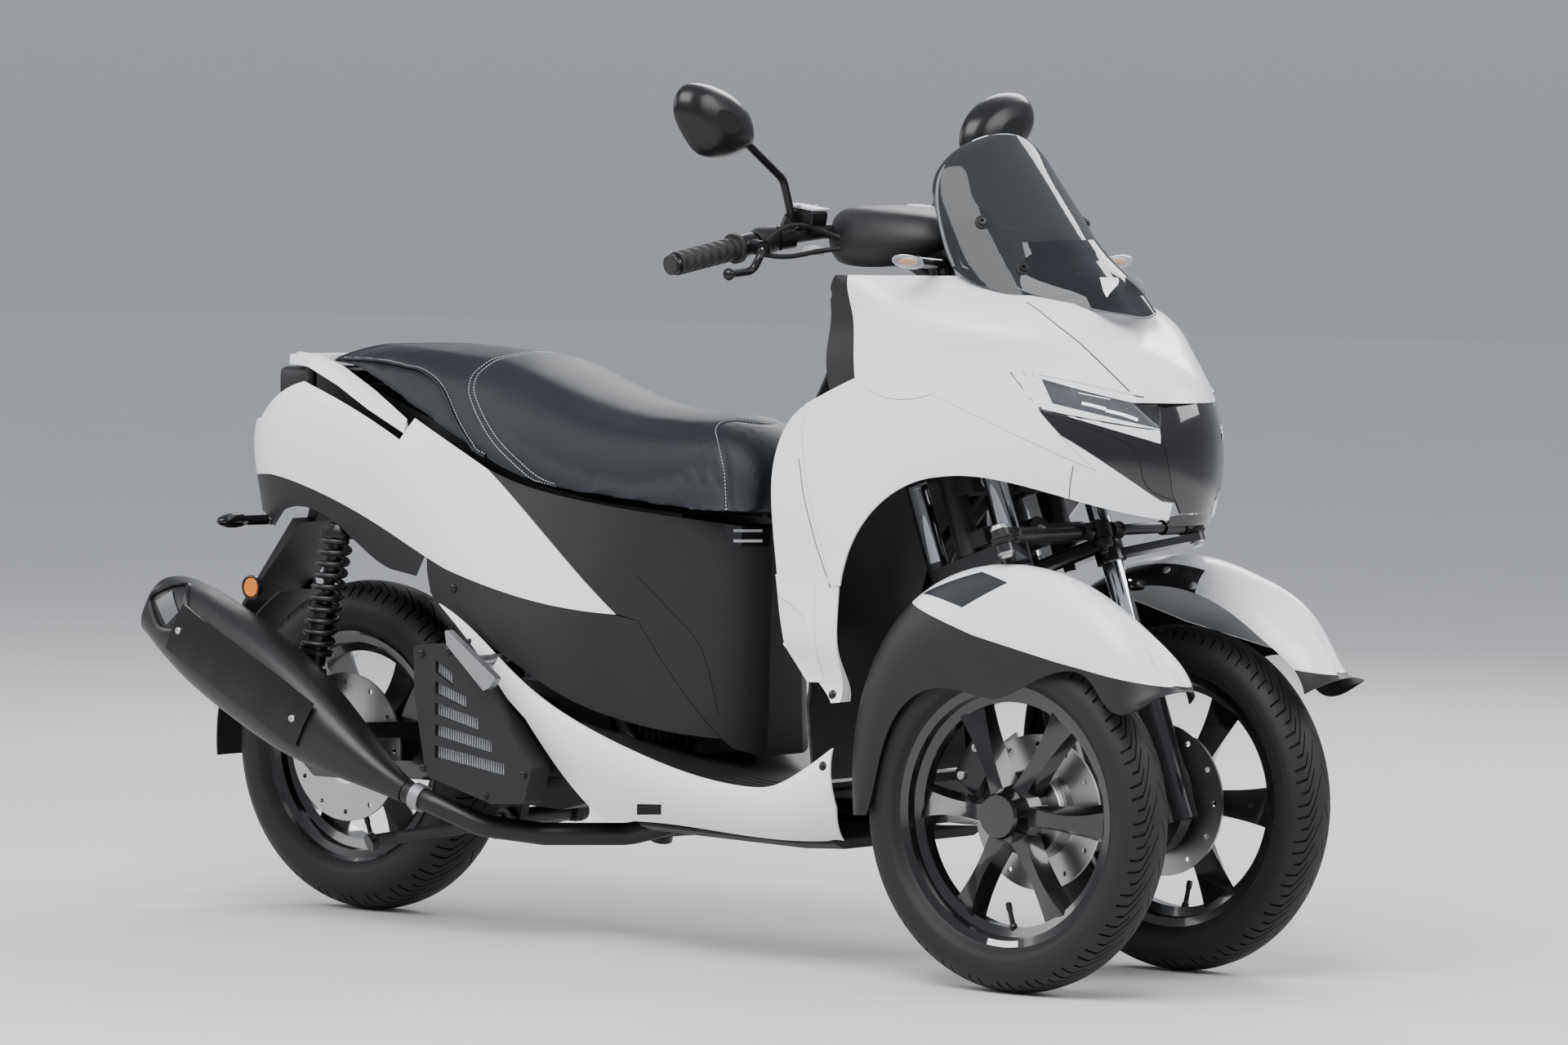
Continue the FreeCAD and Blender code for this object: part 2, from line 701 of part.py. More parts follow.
OPEN_END = 20
REAR_STATIONS = [
    (-192, [(58, 764), (66, 735), (64, 700), (52, 664)]),
    (-150, [(92, 800), (112, 745), (110, 690), (92, 600)]),
    (-80, [(122, 852), (142, 770), (141, 690), (120, 560)]),
    (60, [(136, 846), (158, 760), (156, 690), (138, 530)]),
    (220, [(142, 800), (164, 730), (170, 640), (160, 505)]),
    (400, [(146, 722), (168, 640), (186, 540), (184, 400)]),
    (580, [(150, 690), (162, 600), (184, 470), (188, 330)]),
    (680, [(138, 674), (144, 580), (154, 450), (166, 312)]),
    (760, [(106, 658), (108, 560), (114, 430), (124, 298)]),
    (806, [(70, 650), (70, 560), (74, 430), (82, 290)]),
    (828, [(34, 645), (34, 560), (36, 430), (42, 288)]),
]


def rear_shell():
    outer = loft(side_stations(REAR_STATIONS))
    inner = loft(side_stations(REAR_STATIONS, SKIN))
    return outer.cut(inner), outer


rear_skin, rear_volume = rear_shell()

RAIL_POST = (-40, 104, 738)
POST_RADIUS = 8
TAIL_OUTLINE = [
    [(-215, 752), (-125, 764)],
    [(-125, 764), (-68, 805), (-16, 822)],
    [(-16, 822), (100, 782), (200, 738)],
    [(200, 738), (223, 772)],
    [(223, 772), (374, 699)],
    [(374, 699), (522, 589), (638, 494)],
    [(638, 494), (500, 508), (400, 527), (309, 549)],
    [(309, 549), (262, 566)],
    [(262, 566), (172, 600), (58, 641), (-51, 671), (-130, 676), (-215, 676)],
]
UNDER_TAIL = [
    [(-215, 675.1), (-130, 675.1), (-51, 670.1), (58, 640.1), (172, 599.1), (262, 565.1)],
    [(262, 565.1), (240, 534)],
    [(240, 534), (181, 541)],
    [(181, 541), (70, 595), (19, 621), (-68, 622)],
    [(-68, 622), (-111, 588)],
    [(-111, 588), (-170, 532)],
    [(-170, 532), (-215, 560)],
]
SIDE_COVER = [
    [(268, 562.8), (309, 548.1)],
    [(309, 548.1), (400, 526.1), (500, 507.1), (638, 493.1)],
    [(638, 493.1), (671.9, 485.4)],
    [(671.9, 485.4), (715, 419.4), (788, 315.4)],
    [(788, 315.4), (667, 337), (555, 373), (408, 439), (291, 488)],
]
FRONT_BODY = [
    [(374.8, 700), (430, 682), (537, 662), (640, 649), (838, 622)],
    [(838, 622), (838, 284)],
    [(838, 284), (800, 302)],
    [(800, 302), (788.6, 316)],
    [(788.6, 316), (715.6, 420), (672.5, 486.2)],
    [(672.5, 486.2), (639, 494.8)],
    [(639, 494.8), (522.7, 589.9), (374.8, 700)],
]


def flat_outline(runs, grow=0):
    """Face in the side view; each run is a straight line or a smooth curve through its points."""
    edges = []
    for index, run in enumerate(runs):
        following = runs[(index + 1) % len(runs)][0]
        points = [spot(x, 0, z) for x, z in run]
        if run[-1] != following:
            points.append(spot(following[0], 0, following[1]))
        edges.append(run_edge(points))
    wire = Part.Wire(edges)
    if grow:
        wire = wire.makeOffset2D(grow)
    return Part.Face(wire)


def side_prism(runs, grow=0, reach=420):
    face = flat_outline(runs, grow)
    face.translate(Vector(0, -reach, 0))
    return face.extrude(Vector(0, 2 * reach, 0))


# Lamp set across the tail's end, and the grab rail's posts through the cover
lamp_room = side_block([(-240, 742), (-150, 742), (-150, 690), (-240, 690)], -66, 66)
post_holes = pair(rod(spot(*RAIL_POST), spot(RAIL_POST[0], RAIL_POST[1], 860), POST_RADIUS + CLEAR))
tail_skin = rear_skin.common(side_prism(TAIL_OUTLINE))
feature("tail_covers", tail_skin.cut(lamp_room).cut(post_holes))
feature("tail_lamp", tail_skin.common(lamp_room))
feature("under_tail", rear_skin.common(side_prism(UNDER_TAIL)).cut(shape_of("tail_covers")))
feature("side_covers", rear_skin.common(side_prism(SIDE_COVER)))
feature("body_cover", rear_skin.common(side_prism(FRONT_BODY)))


# Front shell, drawn as level slices from the top of the cowl to the foot of the leg shield
FRONT_SLICES = [
    (1006, [(1060, 224), (1150, 236), (1215, 214), (1262, 150), (1284, 0)]),
    (950, [(1040, 234), (1180, 244), (1330, 206), (1425, 110), (1452, 0)]),
    (890, [(1018, 238), (1180, 248), (1370, 208), (1490, 105), (1524, 0)]),
    (820, [(990, 240), (1180, 250), (1400, 204), (1540, 92), (1578, 0)]),
    (740, [(968, 238), (1160, 250), (1400, 206), (1545, 100), (1584, 0)]),
    (690, [(958, 237), (1150, 249), (1380, 204), (1540, 96), (1580, 0)]),
    (640, [(956, 236), (1150, 247), (1370, 202), (1530, 90), (1566, 0)]),
    (560, [(960, 236), (1140, 246), (1350, 205), (1520, 90), (1550, 0)]),
    (470, [(982, 236), (1130, 245), (1330, 205), (1500, 90), (1530, 0)]),
    (380, [(1020, 237), (1130, 244), (1310, 205), (1480, 90), (1510, 0)]),
]


def level_wire(z, rows, depth=0):
    """Closed level slice: round the front, and straight across behind."""
    points = [spot(x, y, z) for x, y in rows]
    if depth:
        moved = []
        for index, point in enumerate(points):
            before = points[max(index - 1, 0)]
            after = points[min(index + 1, len(points) - 1)]
            along = (after - before).normalize()
            out = Vector(0, 0, 1).cross(along).normalize()
            moved.append(point - out * depth)
        moved[-1].y = 0
        moved[0] = moved[0] + Vector(-30, 0, 0)
        points = moved
        if z == FRONT_SLICES[0][0]:
            points = [p + Vector(0, 0, OPEN_END) for p in points]
        if z == FRONT_SLICES[-1][0]:
            points = [p - Vector(0, 0, OPEN_END) for p in points]
    right = [Vector(p.x, -p.y, p.z) for p in reversed(points)]
    return Part.Wire([run_edge(points + right[1:]),
                      Part.LineSegment(right[-1], points[0]).toShape()])


front_outer = loft([level_wire(z, rows) for z, rows in FRONT_SLICES])
front_inner = loft([level_wire(z, rows, SKIN) for z, rows in FRONT_SLICES])
FRONT_ROOM = Part.makeBox(4000, 4000, above(1001) + 500, Vector(-2000, -2000, -500))
front_skin = front_outer.cut(front_inner).common(FRONT_ROOM)


def front_prism(points, x_low, x_high):
    """Straight-edged outline drawn in the front view, cut through along X."""
    outline = [spot(x_low, y, z) for y, z in points]
    face = Part.Face(Part.makePolygon(outline + outline[:1]))
    return face.extrude(Vector(ahead(x_high) - ahead(x_low), 0, 0))


HEADLIGHT = [[(1398.5, 870.3), (1530.5, 827.6)], [(1530.5, 827.6), (1563, 789)],
             [(1563, 789), (1433.8, 818.5)], [(1433.8, 818.5), (1394, 867.5)], [(1394, 867.5), (1398.5, 870.3)]]
NOSE_LENS = [(-66, 820), (0, 826.5), (66, 820), (72, 786), (52, 700), (34, 672), (-34, 672), (-52, 700), (-72, 786)]
COWL_SIDE = [
    [(1137, 1030), (1156, 857)],
    [(1156, 857), (1174, 844), (1285, 836)],
    [(1285, 836), (1400, 786), (1502, 734)],
    [(1502, 734), (1392, 868)],
    [(1392, 868), (1396, 872)],
    [(1396, 872), (1532, 828)],
    [(1532, 828), (1640, 825)],
    [(1640, 825), (1640, 1030)],
]
LOWER_SIDE = [
    [(1156.5, 856), (1174.5, 843), (1285, 835.1)],
    [(1285, 835.1), (1400, 785.1), (1501.5, 733)],
    [(1501.5, 733), (1503.5, 733.7)],
    [(1503.5, 733.7), (1465.2, 780.6)],
    [(1465.2, 780.6), (1490, 763), (1560, 690)],
    [(1560, 690), (1640, 664)],
    [(1640, 664), (1640, 655)],
    [(1640, 655), (1579, 659)],
    [(1579, 659), (1440, 703), (1350, 722), (1295, 720)],
    [(1295, 720), (1229, 700), (1170, 652), (1129, 560)],
    [(1129, 560), (1110, 560)],
    [(1110, 560), (1072, 690), (1060, 750), (1064, 816.6)],
    [(1064, 816.6), (1082, 824.6), (1156.5, 856)],
]
LEG_STRIP = [
    [(1063.1, 815), (1019, 774), (1001, 727), (999, 669), (1009, 576), (1023, 471)],
    [(1023, 471), (1106, 392)],
    [(1106, 392), (1122, 394)],
    [(1122, 394), (1127, 559.1)],
    [(1127, 559.1), (1109.1, 559.1)],
    [(1109.1, 559.1), (1071.1, 690), (1059.1, 750), (1063.1, 815)],
]
COCKPIT_SIDE = [
    [(1124, 1001), (1139, 1003)],
    [(1139, 1003), (1155.2, 857)],
    [(1155.2, 857), (1110, 837.6)],
    [(1110, 837.6), (1103, 870), (1102, 925), (1124, 1001)],
]

# Space well away from the middle plane
SIDES_ONLY = Part.makeBox(4000, 2000, 3000, Vector(-2000, across(150), -500))
SIDES_ONLY = SIDES_ONLY.fuse(mirrored(SIDES_ONLY))

lens_prism = side_prism(HEADLIGHT)
nose_prism = front_prism(NOSE_LENS, 1470, 1640)
nose_gap = front_prism([(y * 1.011, 745 + (z - 745) * 1.01) for y, z in NOSE_LENS], 1470, 1640)
cowl_prism = side_prism(COWL_SIDE)
lower_prism = side_prism(LOWER_SIDE)
chin_gap = Part.makeBox(400, 2 * across(50), 200, spot(1400, 0, 560) - Vector(0, across(50), 0))

feature("front_cowl", front_skin.common(cowl_prism).cut(nose_gap))
side_panels = front_skin.common(lower_prism).cut(chin_gap).cut(nose_gap)
strips = front_skin.common(side_prism(LEG_STRIP)).common(SIDES_ONLY)
feature("front_side_panels", Part.makeCompound(side_panels.Solids + strips.Solids))
feature("headlight_lenses", front_skin.common(lens_prism).cut(nose_gap))
feature("nose_lens", front_skin.common(nose_prism))

NOSE_TRIM = [
    [(1435.6, 816.2), (1465.6, 781.8)],
    [(1465.6, 781.8), (1490.7, 763.8), (1560.7, 690.9)],
    [(1560.7, 690.9), (1640, 665)],
    [(1640, 665), (1640, 780)],
    [(1640, 780), (1565, 787.6)],
    [(1565, 787.6), (1435.6, 816.2)],
]
trim = front_skin.common(side_prism(NOSE_TRIM)).cut(nose_gap)
chin = front_skin.common(front_prism([(-49.3, 655), (49.3, 655), (49.3, 668), (30, 671), (-30, 671), (-49.3, 668)], 1470, 1640))

# Lamp units behind the lenses
lamp_prism = side_prism([[(1410, 860), (1524, 822)], [(1524, 822), (1554, 792)], [(1554, 792), (1446, 818)],
                         [(1446, 818), (1410, 860)]])
lamp_core = loft([level_wire(z, rows, SKIN + 0.5) for z, rows in FRONT_SLICES])
lamp = lamp_core.common(lamp_prism)
lamp = lamp.cut(Part.makeBox(800, 2 * across(78), 600, spot(1200, 0, 600) - Vector(0, across(78), 0)))
lamp = lamp.cut(Part.makeBox(ahead(1404) - ahead(1000), 800, 600, spot(1000, 0, 600) - Vector(0, 400, 0)))
feature("nose_trim", Part.makeCompound(trim.Solids + chin.Solids + lamp.Solids))


DOWN_RADIUS = 17
DOWN_TUBE = [(1214, 0, 706), (1122, 0, 600), (1074, 0, 440), (1062, 0, 290), (1010, 0, 216), (890, 0, 213)]


def inner_shield():
    """Dark wall that faces the rider's legs, hollowed round the middle, down to the floor."""
    back = [(950, 1112, 236), (890, 1110, 240), (820, 1074, 241), (740, 1028, 239), (690, 1014, 237.6),
            (640, 1013, 236.6), (560, 1020, 236), (470, 1040, 234), (380, 1046, 216), (320, 1048, 211), (276, 1050, 206)]
    wires = []
    for z, x, y in back:
        bow = 12 if z > 400 else 3
        rows = [(x, y), (x + bow * 0.7, y * 0.82), (x + bow, y * 0.42), (x + bow, 0)]
        rear = [spot(px, py, z) for px, py in rows]
        front = [p + Vector(SKIN + 1, 0, 0) for p in rear]
        rear_line = rear + [Vector(p.x, -p.y, p.z) for p in reversed(rear[:-1])]
        front_line = front + [Vector(p.x, -p.y, p.z) for p in reversed(front[:-1])]
        wires.append(Part.Wire([
            run_edge(rear_line), Part.LineSegment(rear_line[-1], front_line[-1]).toShape(),
            run_edge(list(reversed(front_line))), Part.LineSegment(front_line[0], rear_line[0]).toShape()]))
    wall = loft(wires).cut(steer_rod(0, 0, 700, 1200, 62)).cut(front_skin)
    return wall.cut(bent_bar([spot(*point) for point in DOWN_TUBE], DOWN_RADIUS + 0.4, 50))


cockpit_sides = front_skin.common(side_prism(COCKPIT_SIDE)).common(SIDES_ONLY)
feature("inner_leg_shield", Part.makeCompound(inner_shield().Solids + cockpit_sides.Solids))

# Floor: white side panels, boards and belly

FLOOR_STATIONS = [
    (300, [(178, 520), (197, 500), (198, 450), (186, 420)]),
    (400, [(186, 470), (204, 440), (203, 400), (188, 370)]),
    (500, [(196, 405), (212, 370), (208, 330), (188, 280)]),
    (600, [(204, 362), (220, 330), (212, 270), (182, 196)]),
    (750, [(208, 316), (226, 280), (216, 230), (176, 180)]),
    (920, [(210, 284), (227, 250), (216, 210), (170, 172)]),
    (1010, [(210, 296), (226, 262), (216, 215), (172, 176)]),
    (1102, [(206, 350), (222, 310), (214, 250), (180, 184)]),
]
FLOOR_SIDE = [
    [(314, 497), (369, 470), (468, 404), (517, 376), (598, 341), (725, 300), (850, 271), (940, 262),
     (990, 266), (1030, 284), (1094, 326)],
    [(1094, 326), (1098, 240)],
    [(1098, 240), (1085, 190)],
    [(1085, 190), (990, 186), (820, 193), (639, 189)],
    [(639, 189), (599, 220), (542, 283), (501, 335)],
    [(501, 335), (464, 362)],
    [(464, 362), (400, 428), (314, 497)],
]


def side_wall(stations):
    """Thin wall on the left side only, through the stations' outer points."""
    wires = []
    for x, rows in stations:
        outer = [spot(x, y, z) for y, z in rows]
        inner = [p - Vector(0, SKIN, 0) for p in outer]
        wires.append(Part.Wire([
            run_edge(outer), Part.LineSegment(outer[-1], inner[-1]).toShape(),
            run_edge(list(reversed(inner))), Part.LineSegment(inner[0], outer[0]).toShape()]))
    return loft(wires)


peg_hole = rod(spot(432, 150, 420), spot(432, 260, 420), 8)
feature("floor_side_panels", pair(side_wall(FLOOR_STATIONS).common(side_prism(FLOOR_SIDE)).cut(peg_hole)))


def floor_board():
    """Boards for the feet, stepping up beside the body and towards the leg shield."""
    edge = [(598, 336), (725, 294), (850, 264), (940, 256), (990, 259), (1034, 271)]
    halves = [215.8, 219.5, 222, 222.4, 222.8, 222.4]
    wires = []
    for (x, z), half in zip(edge, halves):
        low = z - SKIN - 4
        wires.append(Part.makePolygon([
            spot(x, half, z - 3), spot(x, half, low - 3), spot(x, -half, low - 3), spot(x, -half, z - 3),
            spot(x, half, z - 3)]))
    board = loft(wires).cut(rear_volume).cut(shape_of("floor_side_panels"))
    board = board.common(Part.makeBox(4000, 2 * across(223), 900, Vector(-2000, -across(223), 0)))
    well = Part.makeBox(ahead(676) - ahead(560), 2 * across(151), 200, spot(560, -151, 200))
    # The cylinder reaches forward under the body's nose
    well = well.fuse(Part.makeBox(ahead(736) - ahead(670), 2 * across(78), 200, spot(670, -78, 200)))
    return board.cut(well).cut(bent_bar([spot(*p) for p in DOWN_TUBE], DOWN_RADIUS + 3, 50))


def belly():
    rows = [(700, 188, 178), (800, 185, 176), (990, 180, 172), (1066, 184, 174)]
    wires = []
    for x, z, half in rows:
        wires.append(Part.makePolygon([
            spot(x, half, z), spot(x, half * 0.86, z - 9), spot(x, -half * 0.86, z - 9), spot(x, -half, z),
            spot(x, -half, z + 4), spot(x, half, z + 4), spot(x, half, z)]))
    return loft(wires, True)


feature("floor_board", floor_board())
feature("belly_cover", belly())


# Windscreen, its bracket, the meter and the cockpit deck
SCREEN_ROWS = [
    # height, middle x, half width, depth from the middle back to the side edge
    (895, 1474, 148, 124),
    (960, 1423, 153, 126),
    (1011, 1383, 155, 125),
    (1060, 1345, 150, 112),
    (1100, 1313, 143, 97),
    (1139, 1283, 128, 80),
    (1170, 1259, 104, 50),
    (1190, 1243, 72, 24),
    (1202, 1234, 30, 8),
]
SCREEN_FOOT = [
    [(1180, 1240), (1180, 1030)],
    [(1180, 1030), (1243, 1028)],
    [(1243, 1028), (1256, 1013), (1319, 983), (1385, 954), (1425, 935), (1449, 928)],
    [(1449, 928), (1520, 918)],
    [(1520, 918), (1520, 1240)],
    [(1520, 1240), (1180, 1240)],
]


def windscreen():
    """Curved sheet, cut along its foot where it comes down over the cowl."""
    thick = size("screen_thickness")
    wires = []
    for z, mid, half, depth in SCREEN_ROWS:
        rows = [(mid - depth, half), (mid - 0.45 * depth, 0.8 * half), (mid - 0.15 * depth, 0.46 * half)]
        front = [spot(x, -y, z) for x, y in rows] + [spot(mid, 0, z)] + [spot(x, y, z) for x, y in reversed(rows)]
        back = [p - Vector(thick, 0, 0) for p in front]
        wires.append(Part.Wire([
            run_edge(front), Part.LineSegment(front[-1], back[-1]).toShape(),
            run_edge(list(reversed(back))), Part.LineSegment(back[0], front[0]).toShape()]))
    return loft(wires).common(side_prism(SCREEN_FOOT))


screen = windscreen()
feature("windscreen", seated(screen, front_outer, shape_of("front_cowl")))


def screen_bracket():
    """Pair of arms that hold the screen off the cowl, each with a plate along the screen, and a cross bar."""
    arm = bent_bar([spot(1250, 104, 989), spot(1248, 104, 1034), spot(1300, 114, 1044)], 7, 20)
    foot = Part.makeCylinder(14, 4, spot(1250, 104, 988.3), Vector(0, 0, 1))
    plate = side_block([(1266, 1098), (1282, 1098), (1344, 1000), (1326, 1000)], 102, 130)
    arms = [arm, foot, plate, mirrored(arm), mirrored(foot), mirrored(plate)]
    bar = rod(spot(1248, -104, 1030), spot(1248, 104, 1030), 6)
    return fuse(*arms, bar)


def cockpit_deck():
    """Dark deck round the steering shaft, between the cowl's top edges."""
    wires = []
    for z in (984, 988):
        rows = [(1118, 250), (1180, 250), (1260, 230), (1340, 170), (1380, 0)]
        points = [spot(x, y, z) for x, y in rows]
        right = [Vector(p.x, -p.y, p.z) for p in reversed(points)]
        wires.append(Part.Wire([run_edge(points + right[1:]),
                                Part.LineSegment(right[-1], points[0]).toShape()]))
    deck = loft(wires).common(front_inner)
    return deck.cut(steer_rod(0, 0, 700, 1200, 66))


def meter():
    """Instrument housing with its hood, on a stalk from the deck."""
    low = [spot(1216, y, 1006) for y in (-86, 86)] + [spot(1290, y, 1006) for y in (70, -70)]
    mid = [spot(1222, y, 1060) for y in (-92, 92)] + [spot(1300, y, 1050) for y in (64, -64)]
    top = [spot(1240, y, 1072) for y in (-70, 70)] + [spot(1290, y, 1064) for y in (48, -48)]
    wires = [Part.makePolygon(points + points[:1]) for points in (low, mid, top)]
    stalk = rod(spot(1250, 0, 988.3), spot(1250, 0, 1010), 28)
    return fuse(loft(wires, True), stalk)


feature("cockpit_deck", cockpit_deck())
feature("meter", seated(fuse(meter(), screen_bracket()), shape_of("windscreen")))


def signal_lens(x, y, z, half_width, half_length, half_height, tilt):
    """Drop-shaped lens of a turn signal, longest across the vehicle."""
    lens = Part.makeSphere(1)
    shape = FreeCAD.Matrix()
    shape.scale(half_width, half_length, half_height)
    lens = lens.transformGeometry(shape)
    lens.Placement = Placement(spot(x, y, z), Rotation(Vector(1, 0, 0), tilt))
    return lens


def turn_signals():
    """Lens on a short stalk, in front over the cowl's edge and behind under the tail."""
    stalk = bent_bar([spot(1224, 136, 989), spot(1227, 146, 1017), spot(1246, 226, 1021)], 8, 12)
    stalk = stalk.common(Part.makeBox(400, 400, 100, spot(1000, 0, 988.3)))
    front = fuse(stalk, signal_lens(1247, 246, 1021, 17, 30, 10, 8))
    rear_stalk = rod(spot(-128, 104, 604), spot(-138, 150, 604), 8)
    rear = fuse(rear_stalk, signal_lens(-140, 172, 604, 14, 34, 12, 0)).cut(rear_volume)
    return Part.makeCompound(pair(front).Solids + pair(rear).Solids)


feature("turn_signals", turn_signals())


# Seat, storage box and tail

HINGE = (826, 638)

SEAT_STATIONS = [
    # x, base height, base half width, side height, side half width, top height
    (-4, 846, 96, 858, 98, 868),
    (60, 842, 122, 862, 122, 879),
    (130, 822, 140, 850, 138, 881),
    (220, 781, 152, 820, 146, 879),
    (300, 744, 160, 792, 150, 874),
    (360, 717, 164, 778, 154, 868),
    (430, 689, 166, 752, 160, 845),
    (520, 670, 166, 728, 160, 814),
    (620, 660, 160, 716, 152, 793),
    (720, 650, 150, 706, 138, 787),
    (790, 645, 136, 694, 120, 780),
    (836, 643, 110, 676, 98, 750),
    (850, 643, 88, 664, 82, 716),
]


def seat():
    wires = []
    for x, base, base_half, side, side_half, top in SEAT_STATIONS:
        rows = [(base_half, base + SEAM), (side_half * 1.02, side), (side_half * 0.86, side + 0.62 * (top - side)),
                (side_half * 0.45, top - 0.08 * (top - side)), (0, top)]
        left = [spot(x, y, z) for y, z in rows]
        right = [Vector(p.x, -p.y, p.z) for p in reversed(left)]
        wires.append(Part.Wire([run_edge(left + right[1:]),
                                Part.LineSegment(right[-1], left[0]).toShape()]))
    cushion = loft(wires)
    knuckle_half = across(20)
    start = spot(HINGE[0], 0, HINGE[1]) - Vector(0, knuckle_half, 0)
    barrel = Part.makeCylinder(7, 2 * knuckle_half, start, Vector(0, 1, 0))
    leaf = Part.makeBox(12, 2 * knuckle_half, above(20), start - Vector(6, 0, 0))
    bore = Part.makeCylinder(3 + CLEAR, 2 * knuckle_half, start, Vector(0, 1, 0))
    return fuse(cushion, barrel, leaf).cut(bore)


feature("seat", seat())


def storage_box():
    """Open-topped box under the seat, stepped over wheel and engine, with the seat's hinge lugs."""
    outline = [(36, 818), (96, 812), (220, 770), (360, 704), (430, 678), (560, 656), (720, 644), (720, 500),
               (560, 470), (500, 462), (300, 462), (280, 586), (60, 596)]
    wall = size("box_wall")
    half = across(112)
    face = Part.Face(Part.makePolygon([spot(x, 0, z) for x, z in outline + outline[:1]]))
    face.translate(Vector(0, -half, 0))
    block = face.extrude(Vector(0, 2 * half, 0))
    cavity_outline = [(40, 860), (716, 860), (716, 504), (560, 474), (498, 467), (304, 467), (284, 591), (62, 601)]
    cavity = Part.Face(Part.makePolygon([spot(x, 0, z) for x, z in cavity_outline + cavity_outline[:1]]))
    cavity.translate(Vector(0, -half + wall, 0))
    box = block.cut(cavity.extrude(Vector(0, 2 * (half - wall), 0)))
    lugs = []
    for sign in (-1, 1):
        start = spot(HINGE[0], sign * 35, HINGE[1]) - Vector(0, 14, 0)
        lug = Part.makeCylinder(7, 28, start, Vector(0, 1, 0))
        web = Part.makeBox(ahead(HINGE[0]) - ahead(719), 28, 10, Vector(ahead(719), start.y, above(HINGE[1]) - 7))
        lugs += [lug, web]
    hinge_pin = Part.makeCylinder(3, across(98), spot(HINGE[0], -49, HINGE[1]), Vector(0, 1, 0))
    return fuse(box, *lugs, hinge_pin)


feature("storage_box", storage_box())


def grab_rail():
    """Rail round the tail with a hand gap under each arm, and the plate across its rear."""
    wires = []
    rows = [(196, 148, 136, 770, 742), (120, 146, 126, 812, 776), (50, 142, 120, 846, 812),
            (-20, 132, 108, 864, 838), (-80, 108, 84, 866, 842)]
    for x, out, inn, top, low in rows:
        points = [spot(x, out, low + 6), spot(x, out - 4, top - 6), spot(x, inn + 6, top), spot(x, inn, low + 4)]
        wires.append(Part.makePolygon(points + points[:1]))
    arm = loft(wires, True)
    deck_points = [(-116, 0), (-112, 60), (-92, 98), (-60, 112), (-24, 112), (-14, 90), (-14, 0)]
    left = [spot(x, y, 846) for x, y in deck_points]
    right = [Vector(p.x, -p.y, p.z) for p in reversed(left[1:-1])]
    deck = Part.Face(Part.makePolygon(left + right + left[:1])).extrude(Vector(0, 0, above(16)))
    rail = fuse(arm, mirrored(arm), deck)
    # Four holes for a luggage case's bolts
    for x in (-88, -38):
        for y in (-55, 55):
            hole = Part.makeCylinder(size("rack_hole_radius"), 60, spot(x, y, 830), Vector(0, 0, 1))
            rail = rail.cut(hole)
    return rail


feature("grab_rail", grab_rail())


def wheel_sector(centre, radius, low_angle, high_angle, half):
    """Wedge round a wheel's axle, angles counted from straight ahead, over the top."""
    steps = [low_angle + (high_angle - low_angle) * i / 4 for i in range(5)]
    rim = [centre + Vector(math.cos(math.radians(a)), 0, math.sin(math.radians(a))) * radius for a in steps]
    face = Part.Face(Part.makePolygon([centre] + rim + [centre]))
    face.translate(Vector(0, -half, 0))
    return face.extrude(Vector(0, 2 * half, 0))


def rear_mudguard():
    """Curved guard behind the rear wheel, and the blank number plate's holder at the tail's end."""
    centre = Vector(REAR_AXLE_X, 0, size("rear_tyre_radius"))
    inner = size("rear_tyre_radius") + 14
    outer = inner + SKIN
    half = size("rear_tyre_width") / 2 + 8
    start = centre - Vector(0, half, 0)
    ring = Part.makeCylinder(outer, 2 * half, start, Vector(0, 1, 0)).cut(
        Part.makeCylinder(inner, 2 * half, start, Vector(0, 1, 0)))
    guard = ring.common(wheel_sector(centre, outer * 1.3, 120, 186, half + 5))
    tip_x = -size("overall_length") / 2
    outline = [spot(-118, 0, 606), spot(-226, 0, 470), Vector(tip_x, 0, above(330)),
               Vector(tip_x + 5, 0, above(330)), spot(-219, 0, 470), spot(-100, 0, 600)]
    face = Part.Face(Part.makePolygon(outline + outline[:1]))
    face.translate(Vector(0, -across(62), 0))
    holder = face.extrude(Vector(0, across(124), 0))
    root = side_block([(-118, 606), (-76, 730.7), (-44, 730.7), (-100, 600)], -30, 30)
    slope = (spot(-226, 0, 470) - Vector(tip_x, 0, above(330))).normalize()
    guard_angle = math.radians(150)
    on_guard = centre + Vector(math.cos(guard_angle), 0, math.sin(guard_angle)) * (inner + 1)
    on_holder = spot(-226, 0, 470) - slope * 85 + Vector(2, 0, 0)
    struts = [rod(on_guard + Vector(0, y, 0), on_holder + Vector(0, y, 0), 5) for y in (-42, 42)]
    whole = fuse(guard, holder, root, *struts)
    # Two screw holes for the number plate
    out = Vector(-slope.z, 0, slope.x)
    for y in (-35, 35):
        middle = spot(-226, y, 470) - slope * 60
        whole = whole.cut(Part.makeCylinder(size("plate_hole_radius"), 40, middle - out * 20, out))
    return whole


feature("rear_mudguard", rear_mudguard().cut(shape_of("under_tail")))


# Engine unit, which carries the rear wheel
ENGINE_HALF = 92
STAND = (352, 170)


def rounded(shape, radius, pick):
    edges = [edge for edge in shape.Edges if pick(edge)]
    return shape.makeFillet(radius, edges) if edges else shape


def crosswise(edge):
    """Edges that run across the vehicle."""
    run = edge.lastVertex().Point - edge.firstVertex().Point
    return len(edge.Vertexes) == 2 and abs(run.y) > 0.95 * run.Length > 0


